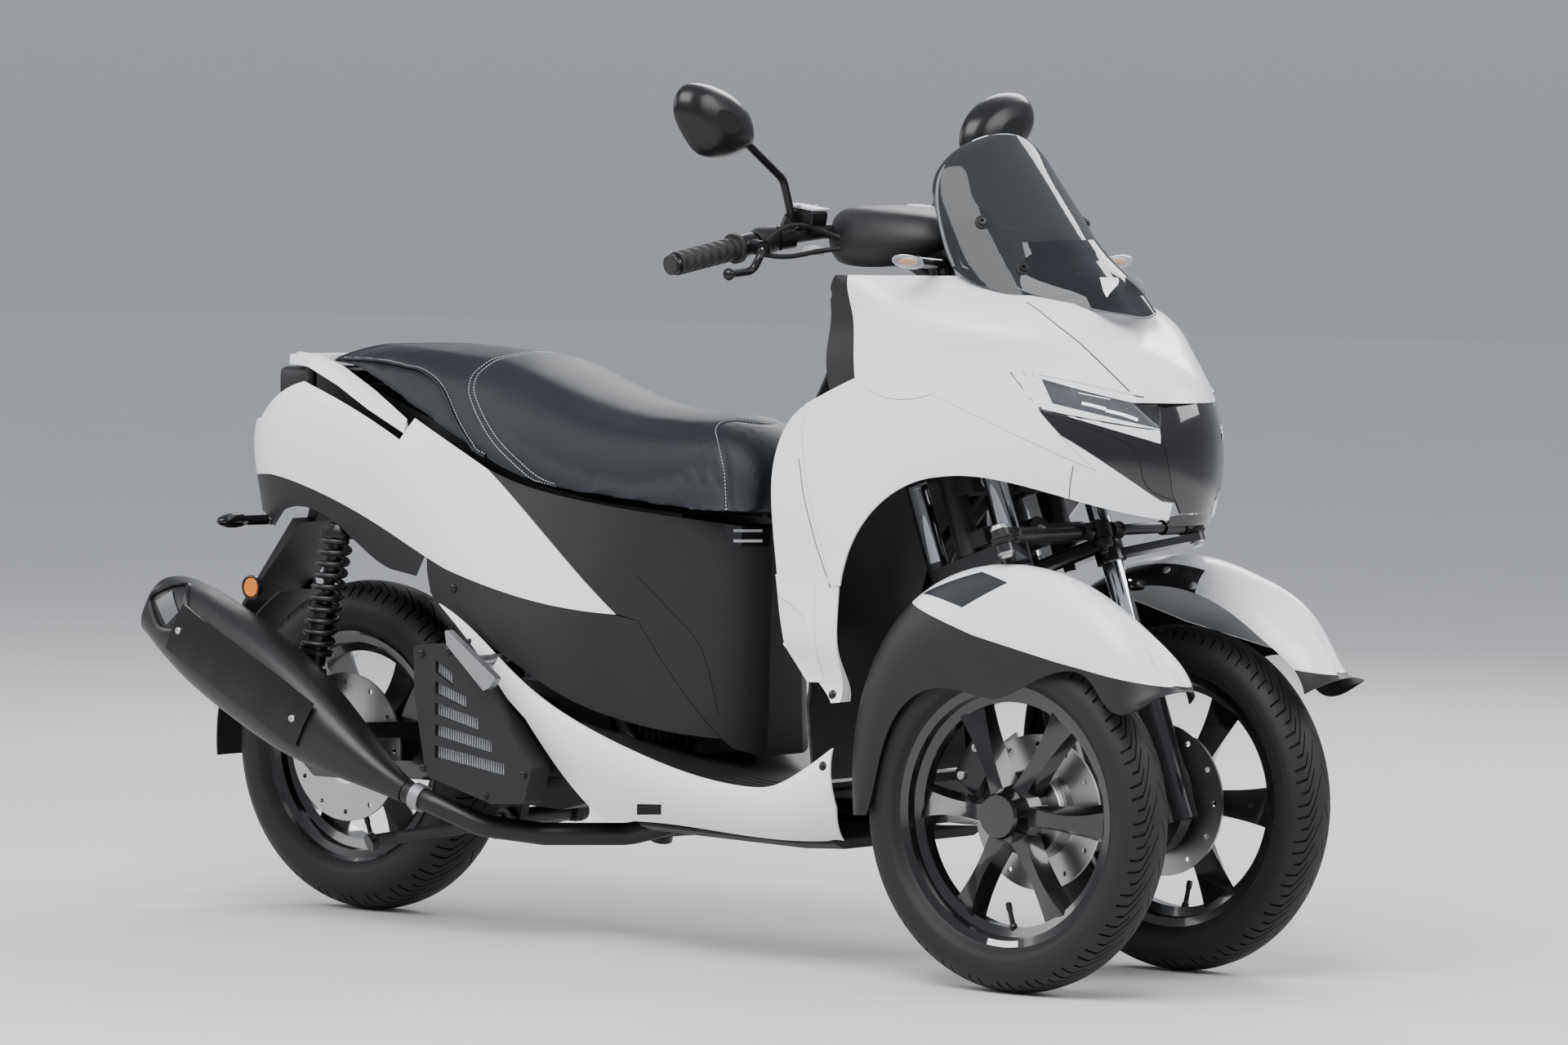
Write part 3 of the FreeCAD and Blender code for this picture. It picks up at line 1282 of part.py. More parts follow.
def engine_block():
    """Engine with its crankcase, the cylinder lying forward, and the lug of its hanger."""
    case = side_block([(296, 236), (330, 196), (470, 190), (560, 214), (566, 330), (520, 372), (380, 384),
                       (300, 330)], -ENGINE_HALF, ENGINE_HALF)
    cylinder = side_block([(540, 226), (726, 262), (716, 372), (540, 344)], -66, 66)
    hanger = side_block([(430, 360), (540, 360), (594, 428), (594, 452), (566, 452)], -70, 70)
    pivot = rod(spot(580, -75, 440), spot(580, 75, 440), 11 + CLEAR)
    lugs = []
    for sign in (-1, 1):
        y = sorted((sign * 58, sign * 74))
        lugs.append(side_block([(STAND[0] - 30, 210), (STAND[0] + 30, 210), (STAND[0] + 15, 156),
                                (STAND[0] - 15, 156)], *y))
    stand_bore = rod(spot(STAND[0], -80, STAND[1]), spot(STAND[0], 80, STAND[1]), 9 + CLEAR)
    block = fuse(rounded(case, 16, crosswise), rounded(cylinder, 10, crosswise), hanger, *lugs)
    return block.cut(pivot).cut(stand_bore)


SHOCK_FOOT = (2, 143, 372)
SHOCK_TOP = (50, 130, 618)


def shock_foot_lug(y_low, y_high, root):
    """Upright lug and pin for a shock's lower eye, standing on the piece below."""
    x, y, z = SHOCK_FOOT
    lug = side_block([(x - 16, root), (x + 20, root), (x + 10, z + 8), (x - 10, z + 8)], y_low, y_high)
    return fuse(lug, rod(spot(x, 126, z), spot(x, 158, z), 5))


def transmission_case():
    """Long belt case on the left, from the engine back to the rear wheel's axle."""
    case = side_block([(-96, 256), (-70, 320), (20, 350), (200, 352), (420, 360), (500, 300), (480, 214),
                       (380, 186), (160, 196), (-50, 196)], 92.3, 168)
    return fuse(rounded(case, 26, crosswise), shock_foot_lug(122, 130, 330))


def air_box():
    case = side_block([(50, 351), (52, 440), (76, 466), (170, 466), (214, 430), (232, 353.6)], 94, 172)
    return rounded(case, 14, crosswise)


def rear_arm():
    """Right-hand arm from the engine to the rear axle, with the axle itself."""
    arm = side_block([(-34, 236), (-24, 282), (60, 300), (240, 312), (318, 340), (350, 300), (318, 232),
                      (200, 226), (60, 214), (-8, 214)], -128, -108)
    arm = rounded(arm, 12, crosswise)
    window = side_block([(70, 240), (200, 250), (230, 288), (80, 276)], -140, -100)
    axle_z = size("rear_tyre_radius")
    axle = Part.makeCylinder(size("axle_radius"), across(138) + across(92),
                             Vector(REAR_AXLE_X, -across(138), axle_z), Vector(0, 1, 0))
    nut = Part.makeCylinder(15, 12, Vector(REAR_AXLE_X, -across(140), axle_z), Vector(0, 1, 0))
    boss = Part.makeCylinder(27, across(128) - 66, Vector(REAR_AXLE_X, -across(128), axle_z), Vector(0, 1, 0))
    lug = mirrored(shock_foot_lug(122, 130, 280))
    foot = rod(spot(320, -92.3, 286), spot(320, -110, 286), 20)
    return fuse(arm.cut(window), axle, nut, boss, lug, foot)


feature("engine_block", engine_block())
feature("transmission_case", transmission_case())
feature("air_box", air_box())
feature("rear_arm", rear_arm())


def shock_profile(length, spring, coils):
    """Half section of a damper with its coil spring, along its own axis."""
    wire = 4.5
    points = [(0, 12), (14, 12), (14, 34), (spring, 38), (spring, 46)]
    start = 48
    stop = length - 60
    pitch = (stop - start) / coils
    for index in range(coils):
        base = start + pitch * index
        points += [(18, base), (spring - wire, base + pitch * 0.25), (spring, base + pitch * 0.42),
                   (spring - wire, base + pitch * 0.6), (18, base + pitch * 0.85)]
    points += [(spring, stop + 2), (spring, stop + 12), (20, stop + 16), (20, length - 20), (0, length - 20)]
    return points


def rear_shock():
    """Damper in its coil spring, with an eye at each end."""
    low = spot(*SHOCK_FOOT)
    high = spot(*SHOCK_TOP)
    run = high - low
    points = shock_profile(run.Length, size("shock_spring_radius"), int(size("shock_coil_count")))
    outline = [Vector(r, 0, z) for r, z in points]
    section = Part.Face(Part.makePolygon(outline + outline[:1]))
    body = section.revolve(Vector(0, 0, 0), Vector(0, 0, 1), 360)
    body.Placement = Placement(low, Rotation(Vector(0, 0, 1), run))
    eyes = [Part.makeCylinder(15, 22, low - Vector(0, 11, 0), Vector(0, 1, 0)),
            Part.makeCylinder(13, 20, high - Vector(0, 10, 0), Vector(0, 1, 0))]
    bores = [Part.makeCylinder(5 + CLEAR, 60, end - Vector(0, 30, 0), Vector(0, 1, 0)) for end in (low, high)]
    return fuse(body, *eyes).cut(bores[0]).cut(bores[1])


def radiator():
    """Radiator core with its fan shroud on the engine's right side, and the slatted cover."""
    core = side_block([(331, 262), (460, 230), (498, 234), (504, 264), (430, 352), (374, 416), (331, 416)],
                      -226, -194)
    shroud = rod(spot(420, -92, 300), spot(420, -195.5, 300), 62)
    cover = side_block([(301, 436), (384, 442), (448, 372), (540, 266), (524, 211), (460, 207), (328, 241),
                        (304, 360)], -238, -196)
    cover = rounded(cover, 10, crosswise)
    hollow = side_block([(329, 426), (379, 426), (438, 362), (514, 270), (506, 228), (462, 224), (329, 254)],
                        -232, -190)
    cover = cover.cut(hollow)
    for index in range(5):
        low = 258 + 32 * index
        reach = 486 - 26 * index
        cover = cover.cut(side_block([(346, low + 12), (346, low + 30), (reach, low + 10), (reach, low - 8)],
                                     -250, -228))
    return fuse(core, shroud), cover


def muffler_ring(tall, wide):
    """Flat-sided oval about the origin, longer along X."""
    points = []
    for step in range(12):
        turn = math.radians(30 * step)
        c, w = math.cos(turn), math.sin(turn)
        points.append(Vector(math.copysign(abs(c) ** 0.72, c) * tall, math.copysign(abs(w) ** 0.72, w) * wide, 0))
    curve = Part.BSplineCurve()
    curve.interpolate(points, PeriodicFlag=True)
    return Part.Wire(curve.toShape())


def muffler():
    """Tapered silencer that sweeps up behind, flat sided, with a sunk end cap and its outlet."""
    rows = [
        # centre x, z, half height, half width, lean from upright
        (-226, 474, 50, 44, 28), (-190, 458, 59, 51, 28), (-110, 414, 70, 57, 27), (-20, 368, 72, 57, 24),
        (80, 314, 63, 53, 26), (170, 266, 42, 40, 28), (232, 236, 26, 26, 26), (284, 214, 17, 17, 22)]
    wires = []
    for x, z, tall, wide, lean in rows:
        wire = muffler_ring(tall, wide)
        wire.Placement = Placement(spot(x, -232, z), Rotation(Vector(0, 1, 0), lean + 90))
        wires.append(wire)
    # The cap lies 14 mm inside the end, with the outlet low in it
    x, z, tall, wide, lean = rows[0]
    place = Placement(spot(x, -232, z), Rotation(Vector(0, 1, 0), lean + 90))
    pocket = Part.Face(muffler_ring(tall - 9, wide - 9)).extrude(Vector(0, 0, 34))
    pocket.translate(Vector(0, 0, -20))
    outlet = Part.makeCylinder(17, 22, Vector(14, 0, -8)).cut(Part.makeCylinder(14, 40, Vector(14, 0, -14)))
    pocket.Placement = place.multiply(pocket.Placement)
    outlet.Placement = place.multiply(outlet.Placement)
    return loft(wires).cut(pocket).fuse(outlet)


def exhaust_pipe():
    return bent_bar([spot(284, -232, 214), spot(330, -226, 200), spot(400, -190, 168), spot(470, -130, 156),
                     spot(560, -40, 156), spot(640, 0, 180), spot(664, 0, 240)],
                    size("exhaust_pipe_radius"), 60)


feature("rear_shocks", pair(rear_shock()))
core, cover_shape = radiator()
feature("radiator_core", core)
feature("radiator_cover", cover_shape)
feature("exhaust", Part.makeCompound(muffler().Solids + exhaust_pipe().Solids))


# Frame and front linkage
def frame():
    radius = size("frame_tube_radius")
    head_low = steer_point(0, 0, HEAD_LOW)
    head = fuse(steer_rod(0, 0, HEAD_LOW, HEAD_HIGH, size("head_tube_radius")))
    down = bent_bar([spot(*point) for point in DOWN_TUBE], DOWN_RADIUS, 50)
    rails = []
    for sign in (-1, 1):
        low = bent_bar([spot(940, 0, 215), spot(840, sign * 70, 212), spot(740, sign * 128, 222),
                        spot(650, sign * 134, 300), spot(580, sign * 134, 440), spot(440, sign * 132, 600),
                        spot(260, sign * 131, 680), spot(60, sign * 130, 722), spot(-60, sign * 98, 740)],
                       radius, 60)
        rails.append(low)
    cross = rod(spot(-58, -97, 740), spot(-58, 97, 740), 9)
    hanger = rod(spot(580, -134, 440), spot(580, 134, 440), 11)
    for sign in (-1, 1):
        # Lug and pin for the shock's upper eye
        low, high = SHOCK_TOP[2] - 14, 716
        lug = side_block([(SHOCK_TOP[0] - 12, low), (SHOCK_TOP[0] + 12, low), (SHOCK_TOP[0] + 14, high),
                          (SHOCK_TOP[0] - 14, high)], 113, 118)
        pin = rod(spot(SHOCK_TOP[0], 114, SHOCK_TOP[2]), spot(SHOCK_TOP[0], 143, SHOCK_TOP[2]), 5)
        rails += [lug, pin] if sign > 0 else [mirrored(lug), mirrored(pin)]
    rails.append(rod(spot(690, 134, 262), spot(672, 140, 190), 12))
    rails.append(rod(spot(660, 128, 172), spot(660, 151.7, 172), 16))
    rails.append(rod(spot(672, 140, 196), spot(660, 140, 172), 12))
    # Posts under the grab rail, stays behind the covers and stubs that the boards stand on
    stays = [
        rod(spot(*RAIL_POST), spot(RAIL_POST[0], RAIL_POST[1], 856), POST_RADIUS),
        rod(spot(160, 131, 702), spot(160, 214, 702), 7),
        rod(spot(1181, 0, 905), spot(1181, 262, 905), 11),
    ]
    stays += [mirrored(stay) for stay in stays]
    stays += [rod(spot(905, 0, 213), spot(905, 0, 262), 14), rod(spot(905, 0, 213), spot(905, 0, 184), 12)]
    # Gusset from the head tube's top to the stay across the cowl
    corners = [steer_point(-8, 0, HEAD_HIGH - 90), steer_point(16, 0, HEAD_HIGH - 90), spot(1187, 0, 905),
               spot(1175, 0, 905)]
    gusset = Part.Face(Part.makePolygon(corners + corners[:1]))
    gusset.translate(Vector(0, -6, 0))
    gusset = gusset.extrude(Vector(0, 12, 0))
    whole = fuse(head, down, *rails, *stays, cross, hanger, gusset)
    whole = whole.cut(steer_rod(0, 0, 500, 1200, size("steering_shaft_radius") + CLEAR))
    return seated(whole, *[shape_of(name) for name in (
        "grab_rail", "tail_covers", "side_covers", "front_cowl", "floor_board", "belly_cover")])


def lean_arms():
    """Upper and lower arms of the tilting parallelogram, with the king-pin tubes at their ends."""
    tube = size("kingpin_tube_radius")
    pieces = []
    for sign in (-1, 1):
        v = sign * PIN_V
        pieces.append(steer_rod(0, v, TUBE_LOW, TUBE_HIGH, tube))
    for w in (TUBE_LOW + 18, TUBE_HIGH - 22):
        pieces.append(steer_box(26, 42, -PIN_V - 4, PIN_V + 4, w - 14, w + 14))
        for sign in (-1, 1):
            pieces.append(steer_box(0, 42, sign * PIN_V - 12, sign * PIN_V + 12, w - 12, w + 12))
        pieces.append(Part.makeCylinder(23, 24, steer_point(25.5, 0, w), AHEAD))
    arms = fuse(*pieces)
    for sign in (-1, 1):
        arms = arms.cut(steer_rod(0, sign * PIN_V, 500, 900, size("kingpin_radius") + CLEAR))
    return arms


feature("frame", frame())
feature("lean_arms", lean_arms())


# Small pieces at the rear and sides
def passenger_pegs():
    peg = side_block([(378, 466), (481, 396), (470, 382), (457, 376), (383, 440)], -254, -240)
    peg = rounded(peg, 3, crosswise)
    bracket = bent_bar([spot(432, -246, 420), spot(432, -170, 420), spot(486, -156, 438), spot(574, -155.2, 446)], 7, 20)
    return pair(mirrored(fuse(peg, bracket)))


feature("passenger_pegs", passenger_pegs())


# Stands, drawn folded
def centre_stand():
    """Two splayed legs on a pivot tube under the engine, with a cross bar and rolled feet."""
    radius = size("stand_tube_radius")
    x, z = STAND
    pivot = rod(spot(x, -88, z), spot(x, 88, z), 9)
    sleeve = rod(spot(x, -56, z), spot(x, 56, z), 13)
    legs = []
    for sign in (-1, 1):
        legs.append(rod(spot(x, sign * 78, z), spot(x, sign * 90, z), 15))
        legs.append(bent_bar([spot(x, sign * 86, z), spot(x - 90, sign * 96, z - 22), spot(x - 190, sign * 118, z - 40),
                              spot(x - 222, sign * 136, z - 46)], radius, 30))
        legs.append(rod(spot(x - 222, sign * 136, z - 46), spot(x - 226, sign * 146, z - 50), 14))
    cross = rod(spot(x - 100, -97, z - 24), spot(x - 100, 97, z - 24), 8)
    tang = bent_bar([spot(x - 190, 118, z - 40), spot(x - 180, 160, z - 44), spot(x - 150, 186, z - 40)], 6, 20)
    return fuse(pivot, sleeve, *legs, cross, tang)


def side_stand():
    """Leg with a flat foot on the left floor rail."""
    radius = size("stand_tube_radius")
    pivot = rod(spot(660, 152, 172), spot(660, 172, 172), 17)
    leg = bent_bar([spot(660, 164, 172), spot(560, 176, 152), spot(470, 184, 142), spot(428, 188, 136)], radius, 40)
    foot = rod(spot(428, 188, 136), spot(424, 190, 124), 19)
    return fuse(pivot, leg, foot)


feature("centre_stand", centre_stand())
feature("side_stand", side_stand())
doc.recompute()

FAULTS = [item.Label for item in doc.Objects if "Invalid" in item.State or "Error" in item.State]
FAULTS += [node.Label for node in NODES if node.Shape.isNull() or not node.Shape.isValid()]
if FAULTS:
    raise RuntimeError(f"not built: {FAULTS}")
os.makedirs("parts", exist_ok=True)
for node in NODES:
    node.Shape.exportStep(f"parts/{node.Label}.step")
print(len(NODES), "sub-parts written")
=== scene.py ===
# %% [markdown]
# A three-wheel scooter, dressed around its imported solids. The solids are the real
# shapes of the panels, wheels and tubes, so this script gives them their finishes and
# adds what a casting or a lathe wouldn't make: the seat's soft cover, tyre tread,
# stitching, lamps, hoses and bolts.

# %% The frame
import math

import bmesh
import bpy
from mathutils import Matrix, Vector
from mathutils.bvhtree import BVHTree
from mathutils.kdtree import KDTree


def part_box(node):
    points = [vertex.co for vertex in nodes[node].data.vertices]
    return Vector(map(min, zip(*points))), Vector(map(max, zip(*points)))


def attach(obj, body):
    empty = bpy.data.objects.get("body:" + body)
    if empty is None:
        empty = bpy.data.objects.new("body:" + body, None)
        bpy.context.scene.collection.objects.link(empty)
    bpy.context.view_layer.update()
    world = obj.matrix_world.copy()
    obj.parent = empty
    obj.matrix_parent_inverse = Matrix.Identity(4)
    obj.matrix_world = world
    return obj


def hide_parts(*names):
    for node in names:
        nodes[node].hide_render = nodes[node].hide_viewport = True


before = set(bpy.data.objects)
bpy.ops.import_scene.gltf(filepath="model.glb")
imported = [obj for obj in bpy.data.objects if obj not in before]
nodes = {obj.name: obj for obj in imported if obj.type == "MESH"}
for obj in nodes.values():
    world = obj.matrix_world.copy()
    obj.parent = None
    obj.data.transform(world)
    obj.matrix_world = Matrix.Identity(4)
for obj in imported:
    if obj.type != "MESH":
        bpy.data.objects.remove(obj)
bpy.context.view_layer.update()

# %% [markdown]
# The camera stands where the photograph's did: low, in front of the right side, with a
# long lens that hardly narrows the far wheels. Its place came from fitting the wheels'
# centres and the outline, so nothing here is guessed by eye.

# %% Camera
AZIMUTH = math.radians(39.595)
HEIGHT_ANGLE = math.radians(2.6967)
ROLL = math.radians(0.5127)
CAMERA_PLACE = (6.44852, -7.65163, 1.09920)
LENS = 154.86
back = Vector((math.sin(AZIMUTH) * math.cos(HEIGHT_ANGLE),
               -math.cos(AZIMUTH) * math.cos(HEIGHT_ANGLE), math.sin(HEIGHT_ANGLE)))
side = Vector((0, 0, 1)).cross(back).normalized()
up = back.cross(side)
turned_side = side * math.cos(ROLL) + up * math.sin(ROLL)
turned_up = up * math.cos(ROLL) - side * math.sin(ROLL)
camera = bpy.data.objects.new("camera", bpy.data.cameras.new("camera"))
bpy.context.scene.collection.objects.link(camera)
camera.matrix_world = Matrix.Translation(CAMERA_PLACE) @ Matrix(
    (turned_side, turned_up, back)).transposed().to_4x4()
camera.data.lens = LENS
camera.data.sensor_width = 36
bpy.context.scene.camera = camera
print("camera at", tuple(round(c, 2) for c in camera.location))

# %% [markdown]
# A pale floor and large soft lights, as in a product studio. The sky is darker at the
# horizon, where it takes the tone of the far floor, so that no line shows between them.
# White panels only read as rounded when one side is a little darker, so the key light is
# high and to the right, and dark plastic needs broad lights to reflect.

# %% Floor and light
def add_object(name, mesh):
    """Put a mesh into the scene as an object of that name."""
    thing = bpy.data.objects.new(name, mesh)
    bpy.context.scene.collection.objects.link(thing)
    return thing


floor_mesh = bpy.data.meshes.new("floor")
FLOOR = 40
floor_mesh.from_pydata([(-FLOOR, -FLOOR, 0), (FLOOR, -FLOOR, 0), (FLOOR, FLOOR, 0), (-FLOOR, FLOOR, 0)],
                       [], [(0, 1, 2, 3)])
floor = add_object("floor", floor_mesh)


def add_light(name, place, target, size, power):
    """Square soft light that faces a point."""
    lamp = bpy.data.lights.new(name, "AREA")
    lamp.shape = "RECTANGLE"
    lamp.size, lamp.size_y = size
    lamp.energy = power
    thing = bpy.data.objects.new(name, lamp)
    bpy.context.scene.collection.objects.link(thing)
    away = (Vector(place) - Vector(target)).normalized()
    thing.matrix_world = Matrix.Translation(place) @ away.to_track_quat("Z", "Y").to_matrix().to_4x4()
    return thing


add_light("key", (1.6, -3.6, 5.2), (0.1, 0, 0.6), (4.6, 3.8), 520)
add_light("fill", (-4.6, -3.2, 3.0), (-0.2, 0, 0.6), (3.6, 2.8), 130)
add_light("front", (5.2, 2.6, 3.6), (0.6, 0, 0.6), (3.6, 3.0), 190)
add_light("rim", (-1.5, 4.6, 3.8), (0, 0, 0.8), (4, 1.6), 190)
world = bpy.data.worlds.new("studio")
bpy.context.scene.world = world
world.use_nodes = True
sky = world.node_tree.nodes["Background"]
sky.inputs["Strength"].default_value = 0.62
where = world.node_tree.nodes.new("ShaderNodeTexCoord")
parts = world.node_tree.nodes.new("ShaderNodeSeparateXYZ")
ramp = world.node_tree.nodes.new("ShaderNodeValToRGB")
ramp.color_ramp.elements[0].color = (0.555, 0.575, 0.62, 1)
ramp.color_ramp.elements[1].position = 0.55
ramp.color_ramp.elements[1].color = (0.86, 0.9, 1, 1)
world.node_tree.links.new(where.outputs["Generated"], parts.inputs[0])
world.node_tree.links.new(parts.outputs["Z"], ramp.inputs[0])
world.node_tree.links.new(ramp.outputs[0], sky.inputs["Color"])

# %% [markdown]
# Shader maths reads better as plain expressions. A small class wraps a node's output, and
# its operators add Math nodes. A finish holds one material, and one method adds any other
# node, with its settings first and its inputs after.

# %% Shader maths
class Flow:
    """A value between two nodes; arithmetic on it adds Math nodes."""

    def __init__(self, finish, socket):
        self.finish = finish
        self.socket = socket

    def math(self, operation, other=None, flip=False):
        first, second = (other, self) if flip else (self, other)
        return self.finish.node("ShaderNodeMath", {"operation": operation}, {0: first, 1: second})

    def __add__(self, other):
        return self.math("ADD", other)

    def __sub__(self, other):
        return self.math("SUBTRACT", other)

    def __rsub__(self, other):
        return self.math("SUBTRACT", other, flip=True)

    def __mul__(self, other):
        return self.math("MULTIPLY", other)

    def __truediv__(self, other):
        return self.math("DIVIDE", other)

    def __gt__(self, other):
        return self.math("GREATER_THAN", other)

    def __lt__(self, other):
        return self.math("LESS_THAN", other)

    __radd__ = __add__
    __rmul__ = __mul__


class Finish:
    """One material: a Principled shader and the nodes that feed it."""

    def __init__(self, name, colour, slot=None, **constants):
        self.slot = slot or name
        self.material = bpy.data.materials.new(name)
        self.material.use_nodes = True
        self.tree = self.material.node_tree
        self.shader = self.tree.nodes["Principled BSDF"]
        self.shader.inputs["Base Color"].default_value = (*colour, 1)
        for key, value in constants.items():
            self.shader.inputs[key.replace("_", " ")].default_value = value

    def node(self, kind, settings=None, inputs=None, output=0):
        made = self.tree.nodes.new(kind)
        for key, value in (settings or {}).items():
            setattr(made, key, value)
        for key, value in (inputs or {}).items():
            if isinstance(value, Flow):
                self.tree.links.new(value.socket, made.inputs[key])
            elif value is not None:
                made.inputs[key].default_value = value
        return Flow(self, made.outputs[output])

    def place(self):
        """The point on the piece, in metres, which turns with the piece."""
        return self.node("ShaderNodeTexCoord", output="Object")

    def axes(self):
        """The same point's three numbers."""
        split = self.node("ShaderNodeSeparateXYZ", inputs={0: self.place()}).socket.node
        return [Flow(self, split.outputs[i]) for i in range(3)]

    def pattern(self, wave, low, high):
        """Mask of the places where a value lies between two others."""
        return (wave > low) * (wave < high)

    def noise(self, scale, detail):
        return self.node("ShaderNodeTexNoise", {}, {"Vector": self.place(), "Scale": scale, "Detail": detail})

    def blend(self, mask, first, second):
        """Colour that goes from the first to the second as the mask goes from 0 to 1."""
        return self.node("ShaderNodeMix", {"data_type": "RGBA"}, {0: mask, 6: first, 7: second}, 2)

    def steer(self, value, low, high):
        """Map a value from 0..1 to low..high, held at the ends."""
        return self.node("ShaderNodeMapRange", {}, {0: value, 3: low, 4: high})

    def bump(self, height, distance, strength=1.0):
        self.feed("Normal", self.node("ShaderNodeBump", {}, {
            "Height": height, "Distance": distance, "Strength": strength}))

    def feed(self, name, value):
        self.tree.links.new(value.socket, self.shader.inputs[name])


def give(finish, *names):
    """Give whole nodes one finish."""
    for name in names:
        thing = nodes[name] if isinstance(name, str) else name
        thing.data.materials.clear()
        thing.data.materials.append(finish.material)


print("studio has", len(bpy.data.materials), "materials so far")

# %% [markdown]
# Nothing real is one flat colour or evenly shiny. Most finishes here wander a little: a noise
# moves the roughness or the colour between two values, and a finer noise makes the bump. The
# floor is the first of them, a matt sheet with a faint mottle.

# %% Floor finish
def varied(name, colour, rough=None, tint=None, bump=None, slot=None, **constants):
    """Finish that varies: rough and tint are (noise scale, detail, low, high)."""
    finish = Finish(name, colour, slot, **constants)
    if tint:
        finish.feed("Base Color", finish.blend(finish.noise(*tint[:2]), *tint[2:]))
    if rough:
        finish.feed("Roughness", finish.steer(finish.noise(*rough[:2]), *rough[2:]))
    if bump:
        finish.bump(finish.noise(*bump[:2]), *bump[2:])
    return finish


give(varied("studio_floor", (0.66, 0.66, 0.65), tint=(2.5, 4, (0.64, 0.64, 0.63, 1), (0.69, 0.69, 0.68, 1)),
            Roughness=0.9), floor)
print("floor finish given")

# %% [markdown]
# White panels: satin paint on plastic. Real paint has a very fine orange peel, which only
# shows in the edges of highlights, and a clear coat over a slightly softer base.

# %% White paint
WHITE = (0.86, 0.87, 0.885)
PAINT = {"Roughness": 0.34, "Coat_Weight": 0.35, "Coat_Roughness": 0.12}
white_paint = varied("white_paint", WHITE, (14, 3, 0.28, 0.4),
                     (3, 3, (0.85, 0.86, 0.875, 1), (0.875, 0.88, 0.89, 1)), (420, 1, 0.0004, 0.06), **PAINT)
print("white paint has", len(white_paint.tree.nodes), "nodes")

# %% [markdown]
# Dark panels: dyed plastic with a grain that was etched into the mould, so the surface is
# covered in tiny pits, and handled places are a little shinier. A few pieces are glossy.

# %% Dark plastic
def moulded(name, colour, low, high, grain=900, depth=0.35, slot=None):
    """Dyed plastic with an etched grain."""
    finish = Finish(name, colour, slot, Roughness=high, Specular_IOR_Level=0.36)
    light = tuple(min(1, c * 1.3 + 0.001) for c in colour)
    finish.feed("Base Color", finish.blend(finish.noise(6, 3), (*colour, 1), (*light, 1)))
    finish.feed("Roughness", finish.steer(finish.noise(9, 4), low, high))
    pits = finish.node("ShaderNodeTexVoronoi", {}, {"Vector": finish.place(), "Scale": grain})
    finish.bump(pits, 0.0005, depth)
    return finish


DARK = (0.0095, 0.0095, 0.0105)
dark_plastic = moulded("dark_plastic", DARK, 0.40, 0.54)
gloss_black = varied("gloss_black", (0.006, 0.006, 0.007), (20, 2, 0.06, 0.12), Roughness=0.07,
                     Coat_Weight=1.0, Coat_Roughness=0.03)
print("materials:", len(bpy.data.materials))

# %% [markdown]
# Metals. The wheels are painted gloss black, the brake discs are ground steel with fine
# rings, and the steel parts are coated black with a slight orange peel. Castings are rougher.

# %% Metals
black_alloy = varied("black_alloy", (0.004, 0.004, 0.0045), (30, 3, 0.12, 0.24), bump=(260, 2, 0.0004, 0.08),
                     Roughness=0.16, Coat_Weight=0.7, Coat_Roughness=0.05)
black_steel = varied("black_steel", (0.007, 0.007, 0.0075), (40, 3, 0.3, 0.5), bump=(350, 2, 0.0004, 0.15),
                     Roughness=0.38)
cast_alloy = varied("cast_alloy", (0.36, 0.36, 0.37), (60, 4, 0.35, 0.6), bump=(700, 3, 0.0006, 0.3),
                    slot="bare_alloy", Metallic=1.0, Roughness=0.45)
dark_cast = varied("dark_cast", (0.03, 0.03, 0.032), (50, 4, 0.4, 0.62), bump=(600, 3, 0.0006, 0.35),
                   slot="bare_alloy", Metallic=0.6, Roughness=0.5)


def ground_steel(name, middle):
    """Steel with fine grinding rings round the wheel's axle."""
    finish = Finish(name, (0.52, 0.51, 0.5), Metallic=1.0, Roughness=0.28)
    along, _, above = finish.axes()
    ring = ((along - middle[0]).math("POWER", 2) + (above - middle[2]).math("POWER", 2)).math("SQRT")
    wave = (ring * 5200).math("SINE")
    finish.feed("Roughness", finish.steer(wave * 0.5 + 0.5, 0.22, 0.36))
    finish.bump(wave, 0.0002, 0.15)
    return finish


print("materials with metals:", len(bpy.data.materials))

# %% [markdown]
# Lenses and the screen. A smoked screen is a thin tinted sheet, so it lets most light
# straight through, and its edge looks darker because light travels further in it there.
# A Mix Shader does that: a share of plain transparency, and the rest is gloss.

# %% Glass
def see_through(finish, tint, share):
    """Let a share of the finish be gloss, and the rest a plain tinted transparency."""
    through = finish.node("ShaderNodeBsdfTransparent", {}, {"Color": (*tint, 1)})
    gloss = Flow(finish, finish.shader.outputs[0])
    mixed = finish.node("ShaderNodeMixShader", {}, {0: share, 1: through, 2: gloss})
    finish.tree.links.new(mixed.socket, finish.tree.nodes["Material Output"].inputs["Surface"])


def facing(finish, low, high):
    """Share that grows from low to high as the surface turns away from the eye."""
    return finish.steer(finish.node("ShaderNodeLayerWeight", {}, {"Blend": 0.35}, "Facing"), low, high)


def clear_sheet(name, colour, strength, roughness=0.03, slot=None):
    """Thin tinted sheet; strength is its share of gloss where it faces the eye."""
    finish = Finish(name, colour, slot, Roughness=roughness, IOR=1.49)
    see_through(finish, [c ** 0.5 for c in colour], facing(finish, strength, min(1, strength + 0.45)))
    return finish


smoked = clear_sheet("smoked_screen", (0.05, 0.055, 0.06), 0.42)
headlight = clear_sheet("headlight_lens", (0.50, 0.52, 0.55), 0.10, slot="clear_lens")
red_lens = clear_sheet("red_lens", (0.45, 0.01, 0.01), 0.75, 0.08)
print("materials with glass:", len(bpy.data.materials))

# %% [markdown]
# Rubber: the grips are soft and even, while a tyre is harder and a little shinier, with a
# coarser grain.

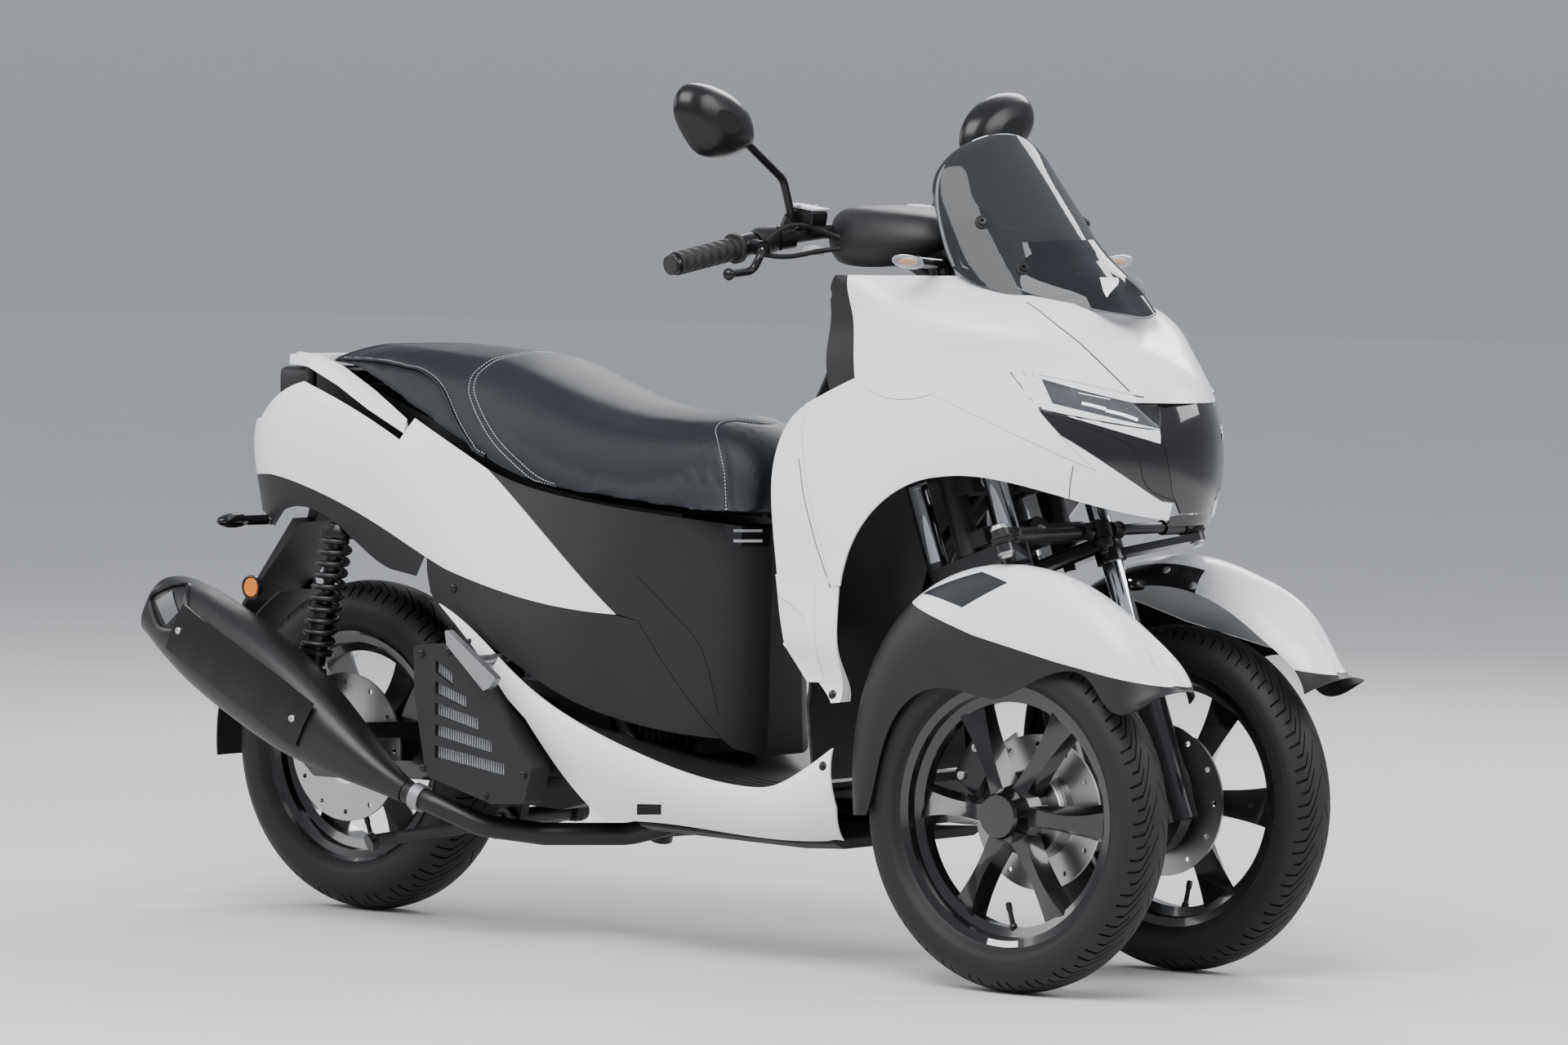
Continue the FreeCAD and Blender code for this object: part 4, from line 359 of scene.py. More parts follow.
# %% Rubber
grip_rubber = moulded("grip_rubber", (0.008, 0.008, 0.008), 0.6, 0.75, 500, 0.5)
tyre_rubber = moulded("tyre_rubber", (0.0085, 0.0085, 0.009), 0.5, 0.72, 380, 0.25)
print("materials with rubber:", len(bpy.data.materials))

# %% [markdown]
# Now the solids get their finishes, panel by panel. The few that need a mask of their own,
# such as the forks, the lamps' trim and the front fenders, follow in later steps.

# %% Finishes on the solids
give(white_paint, "front_cowl", "front_side_panels", "floor_side_panels", "tail_covers", "grab_rail")
give(dark_plastic, "handlebar_cover", "side_covers", "body_cover", "floor_board", "belly_cover", "under_tail",
     "fender_lower_left", "fender_lower_right", "inner_leg_shield", "cockpit_deck", "meter", "storage_box",
     "rear_mudguard", "air_box", "radiator_cover")
give(gloss_black, "nose_lens")
give(black_alloy, "front_rim_left", "front_rim_right", "rear_rim", "rear_arm", "transmission_case")
give(black_steel, "frame", "lean_arms", "handlebar", "tie_rods", "centre_stand", "side_stand")
give(cast_alloy, "passenger_pegs")
give(dark_cast, "radiator_core", "engine_block")
give(smoked, "windscreen")
give(headlight, "headlight_lenses")
give(red_lens, "tail_lamp")
for name in ("front_disc_left", "front_disc_right", "rear_disc"):
    low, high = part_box(name)
    give(ground_steel(name + "_steel", (low + high) / 2), name)
print("nodes without a finish yet:", [name for name, node in nodes.items() if not node.data.materials])

# %% [markdown]
# Most pieces that follow stand on the solids. Places are given as the drawing gives them:
# millimetres ahead of the rear axle, to the rider's left and above the ground. Everything
# round the steering is given along its tilted axis instead.

# %% Places and surfaces
REAR_AXLE = 702.5
STEERING_AXIS = 1478


def spot(x, y, z):
    """Point drawn x ahead of the rear axle, in millimetres, as a place in the frame."""
    return Vector((x - REAR_AXLE, y, z)) / 1000


LEAN = math.radians(20)
AXIS = Vector((-math.sin(LEAN), 0, math.cos(LEAN)))
AHEAD = Vector((math.cos(LEAN), 0, math.sin(LEAN)))
LEFT = Vector((0, 1, 0))
UP = Vector((0, 0, 1))
SIDES = (("right", -1), ("left", 1))


def steer(u, v, w):
    """Point ahead of, left of and up along the steering axis, in millimetres."""
    return spot(STEERING_AXIS, 0, 0) + (AHEAD * u + LEFT * v + AXIS * w) / 1000


def skin_of(*names):
    """Search tree of some solids' faces, for finding places on them."""
    points, faces = [], []
    for name in names:
        mesh = (nodes[name] if isinstance(name, str) else name).data
        start = len(points)
        points += [vertex.co.copy() for vertex in mesh.vertices]
        faces += [tuple(i + start for i in face.vertices) for face in mesh.polygons]
    return BVHTree.FromPolygons(points, faces)


def smooth_line(points, count, closed=False):
    """Places at even steps on a smooth curve through the points."""
    last = len(points)
    padded = ([points[-1]] + points + points[:2] if closed
              else [2 * points[0] - points[1]] + points + [2 * points[-1] - points[-2]])
    spans = last if closed else last - 1
    dense = []
    for index in range(spans):
        a, b, c, d = padded[index:index + 4]
        for step in range(16):
            t = step / 16
            dense.append(0.5 * (2 * b + (c - a) * t + (2 * a - 5 * b + 4 * c - d) * t ** 2
                                + (3 * b - a - 3 * c + d) * t ** 3))
    dense.append(points[0] if closed else points[-1])
    lengths = [0]
    for before, after in zip(dense, dense[1:]):
        lengths.append(lengths[-1] + (after - before).length)
    result, at = [], 0
    for step in range(count):
        goal = lengths[-1] * step / (count if closed else count - 1)
        while at < len(dense) - 2 and lengths[at + 1] < goal:
            at += 1
        share = (goal - lengths[at]) / max(lengths[at + 1] - lengths[at], 1e-9)
        result.append(dense[at].lerp(dense[at + 1], min(1, share)))
    return result


def drape(tree, points, way, count=40):
    """Smooth line laid on a surface, looking along a direction: places and outward normals."""
    line = []
    way = Vector(way).normalized()
    for point in smooth_line([Vector(p) for p in points], count):
        place, normal, _, _ = tree.ray_cast(point - way * 0.6, way)
        if place:
            line.append((place, normal if normal.dot(way) < 0 else -normal))
    return line


def settle(tree, points, count=40, closed=False):
    """Smooth line through points, moved on to the nearest places of a surface."""
    line = []
    for point in smooth_line([Vector(p) for p in points], count, closed):
        place, normal, _, _ = tree.find_nearest(point)
        line.append((place, normal))
    return line


def flipped(points):
    """The same points on the other side of the vehicle."""
    return [Vector((p[0], -p[1], p[2])) for p in points]


print("steering axis meets the ground at", tuple(round(c, 3) for c in steer(0, 0, 0)))

# %% [markdown]
# A few makers of shapes. Round things such as bolts and tyres come from an outline that is
# turned about an axis, as on a lathe. Hoses and rims are curves with a round section. Seams
# and stripes are narrow tapes that follow a surface.

# %% Makers of shapes
def dress(thing, finish, body):
    """Give an object its finish, and let it ride on a body."""
    give(finish, thing)
    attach(thing, body)
    return thing


def piece(name, shape, finish, body="chassis", crisp=35):
    """Turn points and faces into an object that rides on a body."""
    mesh = bpy.data.meshes.new(name)
    mesh.from_pydata([tuple(p) for p in shape[0]], [], shape[1])
    tidy = bmesh.new()
    tidy.from_mesh(mesh)
    bmesh.ops.remove_doubles(tidy, verts=tidy.verts, dist=1e-6)
    bmesh.ops.recalc_face_normals(tidy, faces=tidy.faces)
    tidy.to_mesh(mesh)
    tidy.free()
    mesh.shade_smooth()
    mesh.set_sharp_from_angle(angle=math.radians(crisp))
    return dress(add_object(name, mesh), finish, body)


def turned(rows, steps=32):
    """Outline of (radius, height) or (radius, height, sides) rows turned round Z."""
    points, faces = [], []
    for row in rows:
        sides = row[2] if len(row) > 2 else 0
        for step in range(steps):
            turn = math.tau * step / steps
            radius = row[0]
            if sides:
                half = math.pi / sides
                radius *= math.cos(half) / math.cos(turn % (2 * half) - half)
            points.append(Vector((radius * math.cos(turn), radius * math.sin(turn), row[1])))
    for ring in range(len(rows) - 1):
        for step in range(steps):
            a = ring * steps + step
            b = ring * steps + (step + 1) % steps
            faces.append((a, b, b + steps, a + steps))
    return points, faces


def stand(shape, place, axis, scale=1.0):
    """Move a shape so that its Z points along an axis from a place."""
    move = Matrix.Translation(place) @ Vector(axis).to_track_quat("Z", "Y").to_matrix().to_4x4()
    return [move @ (Vector(p) * scale) for p in shape[0]], shape[1]


def spun(rows, steps, place, axis, scale=1.0):
    """Turned shape that stands at a place along an axis."""
    return stand(turned(rows, steps), place, axis, scale)


def gather(shapes):
    """Several shapes as one."""
    points, faces = [], []
    for some_points, some_faces in shapes:
        start = len(points)
        points += some_points
        faces += [tuple(i + start for i in face) for face in some_faces]
    return points, faces


def block(low, high, round_by=0.0):
    """Box between two corners, with its edges rounded."""
    box = bmesh.new()
    bmesh.ops.create_cube(box, size=1)
    for vertex in box.verts:
        vertex.co = Vector([low[i] + (high[i] - low[i]) * (vertex.co[i] + 0.5) for i in range(3)])
    if round_by:
        bmesh.ops.bevel(box, geom=box.edges[:], offset=round_by, segments=3, affect="EDGES", profile=0.5)
    box.verts.index_update()
    shape = [v.co.copy() for v in box.verts], [tuple(v.index for v in face.verts) for face in box.faces]
    box.free()
    return shape


def grid(columns, rows):
    """Faces between columns + 1 lines of rows + 1 points each."""
    faces = []
    for column in range(columns):
        for row in range(rows):
            first = column * (rows + 1) + row
            faces.append((first, first + 1, first + rows + 2, first + rows + 1))
    return faces


def across_line(line, index):
    """Unit step sideways along the surface at one place of a line."""
    ahead = line[min(index + 1, len(line) - 1)][0] - line[max(index - 1, 0)][0]
    return line[index][1].cross(ahead).normalized()


def tape(line, width, lift=0.0003, crown=0.0):
    """Narrow band along a line on a surface, a little proud of it."""
    points = []
    sink = -0.0004
    for index, (place, normal) in enumerate(line):
        across = across_line(line, index) * width / 2
        for share, height in ((-1, sink), (-1, lift), (0, lift + crown), (1, lift), (1, sink)):
            points.append(place + across * share + normal * height)
    return points, grid(len(line) - 1, 4)


def cane(name, paths, radius, finish, body="chassis", closed=False, exact=False):
    """Round rods or hoses along smooth curves."""
    data = bpy.data.curves.new(name, "CURVE")
    data.dimensions = "3D"
    data.bevel_depth = radius
    data.bevel_resolution = 4
    data.use_fill_caps = True
    for path in paths:
        spline = data.splines.new("POLY" if exact else "NURBS")
        spline.points.add(len(path) - 1)
        for point, place in zip(spline.points, path):
            point.co = (*place, 1)
        if not exact:
            spline.order_u = 4 if len(path) > 3 else 3
            spline.use_endpoint_u = True
            spline.resolution_u = 10
        spline.use_cyclic_u = closed
    return dress(add_object(name, data), finish, body)


SOCKET = [(1, -0.3), (1, 0.7), (0.86, 0.86), (0.6, 0.86), (0.52, 0.84, 6), (0.5, 0.3, 6), (0, 0.3)]
HEXAGON = [(1.35, -0.2), (1.35, 0.14), (1.02, 0.16), (1.0, 0.18, 6), (1.0, 0.72, 6), (0.82, 0.84), (0, 0.84)]
DOME = [(1, -0.3), (1, 0.06), (0.94, 0.26), (0.74, 0.42), (0.42, 0.5), (0, 0.52)]


def screws(name, places, outline, radius, finish=None, body="chassis"):
    """One object with a screw's head at each (place, axis)."""
    heads = [spun(outline, 24, place, axis, radius) for place, axis in places]
    return piece(name, gather(heads), finish or zinc, body, 30)


def bolt_circle(middle, reach, first, out):
    """Five places round the wheel's axis, from a first angle, that all face one way."""
    turns = [math.tau * step / 5 + first for step in range(5)]
    return [(middle + Vector((math.cos(turn), 0, math.sin(turn))) * reach, out) for turn in turns]


print("sides of a hexagon's head:", HEXAGON[3][2])

# %% [markdown]
# More finishes for the small pieces: zinc-plated bolts, mirror glass, lamps that glow a
# little, amber and silver. Each still has its own fine variation.

# %% Small finishes
zinc = varied("zinc", (0.62, 0.62, 0.6), (300, 3, 0.2, 0.42), slot="steel", Metallic=1.0, Roughness=0.3)
mirror_glass = varied("mirror_glass", (0.86, 0.88, 0.9), (8, 2, 0.01, 0.04), slot="steel", Metallic=1.0,
                      Roughness=0.02)
thread = varied("thread", (0.55, 0.58, 0.62), tint=(900, 1, (0.42, 0.45, 0.5, 1), (0.66, 0.69, 0.72, 1)),
                slot="seat_vinyl", Roughness=0.6)
amber = Finish("amber", (0.85, 0.22, 0.01), "clear_lens", Roughness=0.15, Coat_Weight=0.6)
amber.bump(amber.node("ShaderNodeTexVoronoi", {}, {"Vector": amber.place(), "Scale": 420}), 0.0006, 0.5)
lit = Finish("lit_strip", (0.95, 0.97, 1.0), "clear_lens", Emission_Strength=5.0, Roughness=0.3)
lit.feed("Emission Color", lit.blend(lit.noise(60, 1), (0.9, 0.95, 1, 1), (1, 1, 1, 1)))
glow = Finish("red_glow", (0.5, 0.01, 0.01), "red_lens", Emission_Strength=1.6, Roughness=0.3)
glow.feed("Emission Color", glow.blend(glow.noise(90, 1), (0.6, 0.01, 0.01, 1), (0.9, 0.03, 0.02, 1)))
silver_paint = moulded("silver_paint", (0.42, 0.43, 0.44), 0.3, 0.4, 700, 0.08, "bare_alloy")
blank_white = moulded("blank_white", (0.74, 0.75, 0.75), 0.25, 0.34, 900, 0.05, "white_paint")
seam_dark = moulded("seam_dark", (0.006, 0.006, 0.006), 0.8, 0.9, slot="dark_plastic")
ring_grey = moulded("ring_grey", (0.11, 0.115, 0.12), 0.3, 0.4, 700, 0.08, "dark_plastic")
satin_black = moulded("satin_black", (0.006, 0.006, 0.0065), 0.22, 0.34, 800, 0.1, "black_steel")
decal = moulded("decal", (0.008, 0.011, 0.015), 0.45, 0.55, 800, 0.03, "white_paint")
print("finishes:", len(bpy.data.materials))

# %% [markdown]
# The seat is foam under a stitched cover. A block with a smooth top would look like plastic,
# so a copy of the solid is filled like a cushion: cloth with a little air pressure, held at
# its base, and no point may move more than a few millimetres. Then the sewn channels are
# pressed in, because the remesh would have wiped them out before.

# %% Seat cover
def baked(thing):
    """Mesh of an object with its modifiers applied, which then go."""
    mesh = bpy.data.meshes.new_from_object(thing.evaluated_get(bpy.context.evaluated_depsgraph_get()))
    thing.modifiers.clear()
    return mesh


def swell(thing, held, cap, pressure=4.0, frames=20):
    """Fill a closed cushion by cloth simulation and keep the result."""
    before = [vertex.co.copy() for vertex in thing.data.vertices]
    group = thing.vertex_groups.new(name="held")
    group.add(held, 1.0, "REPLACE")
    cloth = thing.modifiers.new("fill", "CLOTH")
    cloth.settings.use_pressure = True
    cloth.settings.uniform_pressure_force = pressure
    cloth.settings.vertex_group_mass = "held"
    cloth.settings.effector_weights.gravity = 0
    cloth.settings.quality = 4
    cloth.point_cache.frame_start = 1
    cloth.point_cache.frame_end = frames
    for number in range(1, frames + 1):
        bpy.context.scene.frame_set(number)
    moved = baked(thing)
    thing.vertex_groups.clear()
    bpy.context.scene.frame_set(1)
    for vertex, old, new in zip(thing.data.vertices, before, moved.vertices):
        step = new.co - old
        vertex.co = old + step * min(1.0, cap / max(step.length, 1e-9))


seat_cover = add_object("seat_cover", nodes["seat"].data.copy())
remesh = seat_cover.modifiers.new("even_faces", "REMESH")
remesh.mode = "VOXEL"
remesh.voxel_size = 0.0065
seat_mesh = baked(seat_cover)
seat_cover.data = seat_mesh
inward = 0.0035
for vertex, normal in [(v, v.normal.copy()) for v in seat_mesh.vertices]:
    vertex.co -= normal * inward
held = [v.index for v in seat_mesh.vertices if v.normal.z < -0.4]
swell(seat_cover, held, 0.006)
print("seat cover:", len(seat_mesh.vertices), "points,", len(held), "held")

# %% [markdown]
# Three seams run over the seat: a piping round the passenger's side panel, a double-stitched
# arc that closes the rider's part, and a stitched seam across the nose. Each presses a
# shallow channel into the foam.

# %% Seams of the seat
PIPING = [(14, -106, 863), (60, -125, 861), (113, -132, 861), (174, -134, 855), (220, -136, 846),
          (262, -145, 821), (301, -156, 777), (325, -160, 751), (347, -163, 727), (366, -164, 708)]
ARC = [(512, -166, 672), (498, -166, 677), (471, -167, 691), (445, -167, 707), (388, -163, 746),
       (345, -154, 788), (322, -145, 817), (314, -125, 844), (320, -103, 857), (327, -80, 864),
       (335, -50, 868), (340, -18, 872)]
NOSE_SEAM = [(818, -123, 649), (811, -116, 678), (805, -113, 706), (794, -109, 735), (776, -95, 760),
             (760, -78, 771), (757, -62, 779), (768, -45, 781), (786, -32, 779), (797, -12, 777)]


def both_ways(half):
    """A right-hand half line and its mirror image, joined over the middle."""
    points = [spot(*p) for p in half]
    return points + list(reversed(flipped(points)))


def press(mesh, lines, depth, width):
    """Push a shallow channel into a surface along some lines."""
    marks = [place for line in lines for place, _ in line]
    tree = KDTree(len(marks))
    for index, mark in enumerate(marks):
        tree.insert(mark, index)
    tree.balance()
    normals = [v.normal.copy() for v in mesh.vertices]
    for vertex, normal in zip(mesh.vertices, normals):
        distance = tree.find(vertex.co)[2]
        vertex.co -= normal * depth * math.exp(-(distance / width) ** 2)
    mesh.update()


refine = seat_cover.modifiers.new("finer", "SUBSURF")
refine.levels = refine.render_levels = 1
seat_mesh = baked(seat_cover)
seat_cover.data = seat_mesh
cover_skin = skin_of(seat_cover)
piping_half = [spot(*p) for p in PIPING]
piping_lines = [settle(cover_skin, half, 90) for half in (piping_half, flipped(piping_half))]
arc_line = settle(cover_skin, both_ways(ARC), 260)
nose_line = settle(cover_skin, both_ways(NOSE_SEAM), 200)
press(seat_mesh, piping_lines + [arc_line, nose_line], 0.0022, 0.006)
seat_mesh.shade_smooth()
print("seat cover now:", len(seat_mesh.polygons), "faces")

# %% [markdown]
# Vinyl has a fine leather grain: small rounded cells with softer creases between them. The
# grain is in the bump, so the mesh under it can stay coarse.

# %% Seat vinyl
seat_vinyl = varied("seat_vinyl", (0.007, 0.009, 0.013), (11, 4, 0.36, 0.5),
                    (5, 3, (0.0055, 0.0072, 0.0105, 1), (0.0095, 0.012, 0.0165, 1)),
                    Roughness=0.48, Specular_IOR_Level=0.32)
cells = seat_vinyl.node("ShaderNodeTexVoronoi", {"feature": "DISTANCE_TO_EDGE"},
                        {"Vector": seat_vinyl.place(), "Scale": 620})
seat_vinyl.bump(cells * 2 + seat_vinyl.noise(1400, 2) * 0.4, 0.0006, 0.35)
give(seat_vinyl, seat_cover)
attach(seat_cover, "seat")
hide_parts("seat")
print("seat vinyl has", len(seat_vinyl.tree.nodes), "nodes")

# %% [markdown]
# Stitches are short beads of thread that lie beside a seam, one after another. The piping is
# a thin cord in its own sleeve of vinyl, so it is a cane along the pressed channel.

# %% Stitches and piping
cover_skin = skin_of(seat_cover)


def shifted(line, shift):
    """The same line, moved sideways along the surface."""
    return [cover_skin.find_nearest(line[index][0] + across_line(line, index) * shift)[:2]
            for index in range(len(line))]


def stitches(line, length=0.0036, gap=0.0016, thick=0.0006):
    """Short thread stitches along a line."""
    whole = sum((b[0] - a[0]).length for a, b in zip(line, line[1:]))
    places = smooth_line([place for place, _ in line], max(4, int(whole / (length + gap))))
    bead = turned([(0, 0), (thick, length * 0.16), (thick, length * 0.84), (0, length)], 6)
    shapes = []
    for first, second in zip(places, places[1:]):
        found = cover_skin.find_nearest(first)
        shapes.append(stand(bead, found[0] + found[1] * thick * 0.5, (second - first).normalized()))
    return shapes


sewn = []
for line in (shifted(arc_line, 0.0045), shifted(arc_line, -0.0045), shifted(nose_line, 0.004)):
    sewn += stitches(line)
piece("seat_stitches", gather(sewn), thread, "seat")
cane("seat_piping", [[place + normal * 0.0008 for place, normal in line] for line in piping_lines],
     0.0021, seat_vinyl, "seat", exact=True)
piping_threads = [s for line in piping_lines for s in stitches(shifted(line, 0.0038))]
piece("piping_stitches", gather(piping_threads), thread, "seat")
print("stitches:", len(sewn) + len(piping_threads))

# %% [markdown]
# A tyre is a smooth body of rubber with grooves cut by its mould. The grooves here run from
# the shoulder and sweep back towards the middle. If the mesh's columns follow that same
# sweep, every groove lies between two columns and gets clean walls with few faces.

# %% Tyres
def tyre_outline(radius, half, seat, lip):
    """Half section from the bead to the crown."""
    height = radius - seat
    knots = [(seat, lip), (seat + 0.10 * height, lip + 0.004), (seat + 0.25 * height, half * 0.93),
             (seat + 0.42 * height, half), (seat + 0.62 * height, half * 0.975),
             (seat + 0.80 * height, half * 0.80), (seat + 0.91 * height, half * 0.56),
             (seat + 0.975 * height, half * 0.3), (radius, 0)]
    line = smooth_line([Vector((y, r, 0)) for r, y in knots], 44)
    return [(p.y, p.x) for p in line]


GROOVES = ((0.10, 0.93), (0.46, 0.93), (0.30, 0.8))


def sweep(share):
    """How far a groove runs round the tyre, from the shoulder (1) to the middle (0), in radians."""
    if share > 0.62:
        return (1 - share) * 0.06
    return 0.0228 + (0.62 - share) * 0.40


def tyre(name, node, body, centre, radius, width, rim_radius, rim_width, repeats):
    """Tread in place of a tyre's solid, with its grooves repeated round it."""
    half = width / 2
    seat = rim_radius - 0.012 + 0.0003
    right = tyre_outline(radius, half * 0.995, seat, rim_width / 2 - 0.0075)
    outline = right + [(r, -y) for r, y in reversed(right[:-1])]
    unit = math.tau / repeats
    groove = 0.0034 / radius
    wall = 0.0007 / radius
    columns = []
    for slot in range(3):
        start = unit * slot / 3
        columns += [(start, 0, slot), (start + wall, 1, slot), (start + groove, 1, slot),
                    (start + groove + wall, 0, slot), (start + unit / 6, 0, slot)]
    points, faces = [], []
    rows = len(outline)
    for repeat in range(repeats):
        for phase, deep, slot in columns:
            for index, (reach, y) in enumerate(outline):
                share = min(1, abs(y) / (half * 0.93)) if reach > radius - 0.036 else 1
                side_slot = slot if y > 0 else (slot + 1) % 3
                first, last = GROOVES[side_slot]
                depth = 0.0038 * deep if first < share < last else 0
                edge = outline[min(index + 1, rows - 1)], outline[max(index - 1, 0)]
                normal = Vector((edge[0][1] - edge[1][1], edge[1][0] - edge[0][0])).normalized()
                normal = normal if normal.x > 0 or abs(normal.x) < 0.2 and normal.y * y > 0 else -normal
                ring = 0.0006 if 0.018 < reach - seat < 0.020 or 0.034 < reach - seat < 0.036 else 0
                out = normal * (ring - depth)
                turn = repeat * unit + phase + sweep(share)
                away = reach + out.x
                points.append(centre + Vector((away * math.cos(turn), y + out.y, away * math.sin(turn))))
    total = repeats * len(columns)
    for column in range(total):
        for row in range(rows - 1):
            a = column * rows + row
            b = (column + 1) % total * rows + row
            faces.append((a, b, b + 1, a + 1))
    thing = piece(name, (points, faces), tyre_rubber, body, 40)
    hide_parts(node)
    return thing


for side_name, sign in SIDES:
    tyre("front_tread_" + side_name, "front_tyre_" + side_name, "front_wheel_" + side_name,
         spot(1410, sign * 195, 250), 0.25, 0.09, 0.19, 0.066, 29)
made = tyre("rear_tread", "rear_tyre", "rear_wheel", spot(0, 0, 256), 0.256, 0.126, 0.179, 0.098, 28)
print("rear tyre:", len(made.data.polygons), "faces")

# %% [markdown]
# Small things on the wheels: an air valve on each rim, the bolts of each brake disc, and a
# blank sticker on the flange of the front rims.

# %% Wheel details
VALVE = [(0.0055, -0.004), (0.0055, 0.002), (0.0038, 0.004), (0.0036, 0.024), (0.0045, 0.025), (0.0045, 0.034),
         (0.0034, 0.036), (0, 0.036)]


def wheel_details(name, body, centre, out, barrel, disc_y, reach):
    """Valve and disc bolts of one wheel; out is +1 or -1, the side it faces."""
    down = Vector((0.02, 0, -1)).normalized()
    foot = centre + down * (barrel - 0.002) + LEFT * out * 0.008
    piece(name + "_valve", spun(VALVE, 16, foot, -down + LEFT * out * 0.35), satin_black, body)
    heads = bolt_circle(centre + LEFT * disc_y, reach, 0.3, LEFT * math.copysign(1, disc_y))
    screws(name + "_disc_bolts", heads, SOCKET, 0.007, zinc, body)


def flange_sticker(centre, out, radius, span, width, steps=18):
    """Thin arc at the bottom of a rim's flange."""
    points = []
    for step in range(steps + 1):
        turn = math.radians(-90) + span * (step / steps - 0.5)
        for reach, shift in ((radius - width, 0), (radius, math.copysign(0.0022, out))):
            points.append(centre + Vector((reach * math.cos(turn), out + shift, reach * math.sin(turn))))
    return points, grid(steps, 1)


for side_name, sign in SIDES:
    centre = spot(1410, sign * 195, 250)
    body = "front_wheel_" + side_name
    wheel_details(side_name, body, centre, sign, 0.158, -sign * 0.0525, 0.036)
    sticker = flange_sticker(centre, sign * 0.0273, 0.1838, 0.30, 0.0085)
    piece("rim_sticker_" + side_name, sticker, blank_white, body)
wheel_details("rear", "rear_wheel", spot(0, 0, 256), -1, 0.147, -0.0625, 0.040)
print("front track:", round(2 * abs(centre.y) * 1000), "mm")

# %% [markdown]
# The fork's tubes are chromed above their sliders, and the sliders are painted black. Both
# belong to one solid, so the finish chooses between chrome and paint by how far up the
# steering axis a point lies.

# %% Fork finish
AXLE_W = (68 * math.sin(LEAN) + 250 * math.cos(LEAN)) / 1000
AXIS_FOOT = (STEERING_AXIS - REAR_AXLE) / 1000
fork_finish = Finish("fork_finish", (0.02, 0.02, 0.022), "black_steel", Roughness=0.25)
fork_x, _, fork_z = fork_finish.axes()
along_fork = (fork_x - AXIS_FOOT) * AXIS.x + fork_z * AXIS.z
ahead_fork = (fork_x - AXIS_FOOT) * AHEAD.x + fork_z * AHEAD.z
tube_part = fork_finish.pattern(along_fork, AXLE_W + 0.216, AXLE_W + 0.342) \
    + fork_finish.pattern(along_fork, AXLE_W + 0.392, AXLE_W + 0.506)
chromed = tube_part * (ahead_fork.math("ABSOLUTE") > 0.03)
fork_finish.feed("Metallic", chromed)
fork_finish.feed("Base Color", fork_finish.blend(chromed, (0.014, 0.014, 0.016, 1), (0.72, 0.73, 0.75, 1)))
fork_finish.feed("Roughness", fork_finish.steer(chromed, 0.24, 0.08))
give(fork_finish, "fork_right", "fork_left")
print("axle stands", round(AXLE_W * 1000), "mm up the steering axis")

# %% [markdown]
# Each fork gets rings where its tubes meet the sliders, the bolts of its axle carrier and
# caliper, and a brake hose. The track rod has a ball joint at each end: a stud with its nut
# under the arm, a rubber boot and a cap. Lock nuts close the rod's threads.

# %% Fork and linkage pieces
RING = [(0.0185, 0), (0.0228, 0.001), (0.0232, 0.008), (0.0205, 0.012), (0.0168, 0.013)]
TUBE_CAP = [(0.0, 0.0), (0.0125, 0.0), (0.0125, 0.003), (0.010, 0.004), (0.0, 0.004)]
CARRIER_CAP = [(0.0, 0.006), (0.03, 0.005), (0.034, 0.0), (0.05, 0.0), (0.052, -0.002)]
JOINT_CAP = [(0.0138, -0.001), (0.0142, 0.001), (0.0115, 0.006), (0.006, 0.0085), (0, 0.009)]
BOOT = [(0.0150, 0.0), (0.0172, 0.0025), (0.0150, 0.005), (0.0168, 0.0075), (0.0150, 0.010)]
SLEEVE = [(0, -0.011), (0.0128, -0.011), (0.0132, -0.010, 6), (0.0132, 0.010, 6), (0.0128, 0.011), (0, 0.011)]
HOSE = [(-62, 84, 330), (-84, 82, 290), (-92, 88, 220), (-96, 98, 150), (-98, 118, 100)]
CALIPER_TURN = math.radians(148)
CALIPER_OUT = Vector((math.cos(CALIPER_TURN), 0, math.sin(CALIPER_TURN)))
CALIPER_ALONG = Vector((-math.sin(CALIPER_TURN), 0, math.cos(CALIPER_TURN)))


def leg(u, v, w):
    """Point by the fork, with w counted from the wheel's axle."""
    return steer(u, v, AXLE_W * 1000 + w)


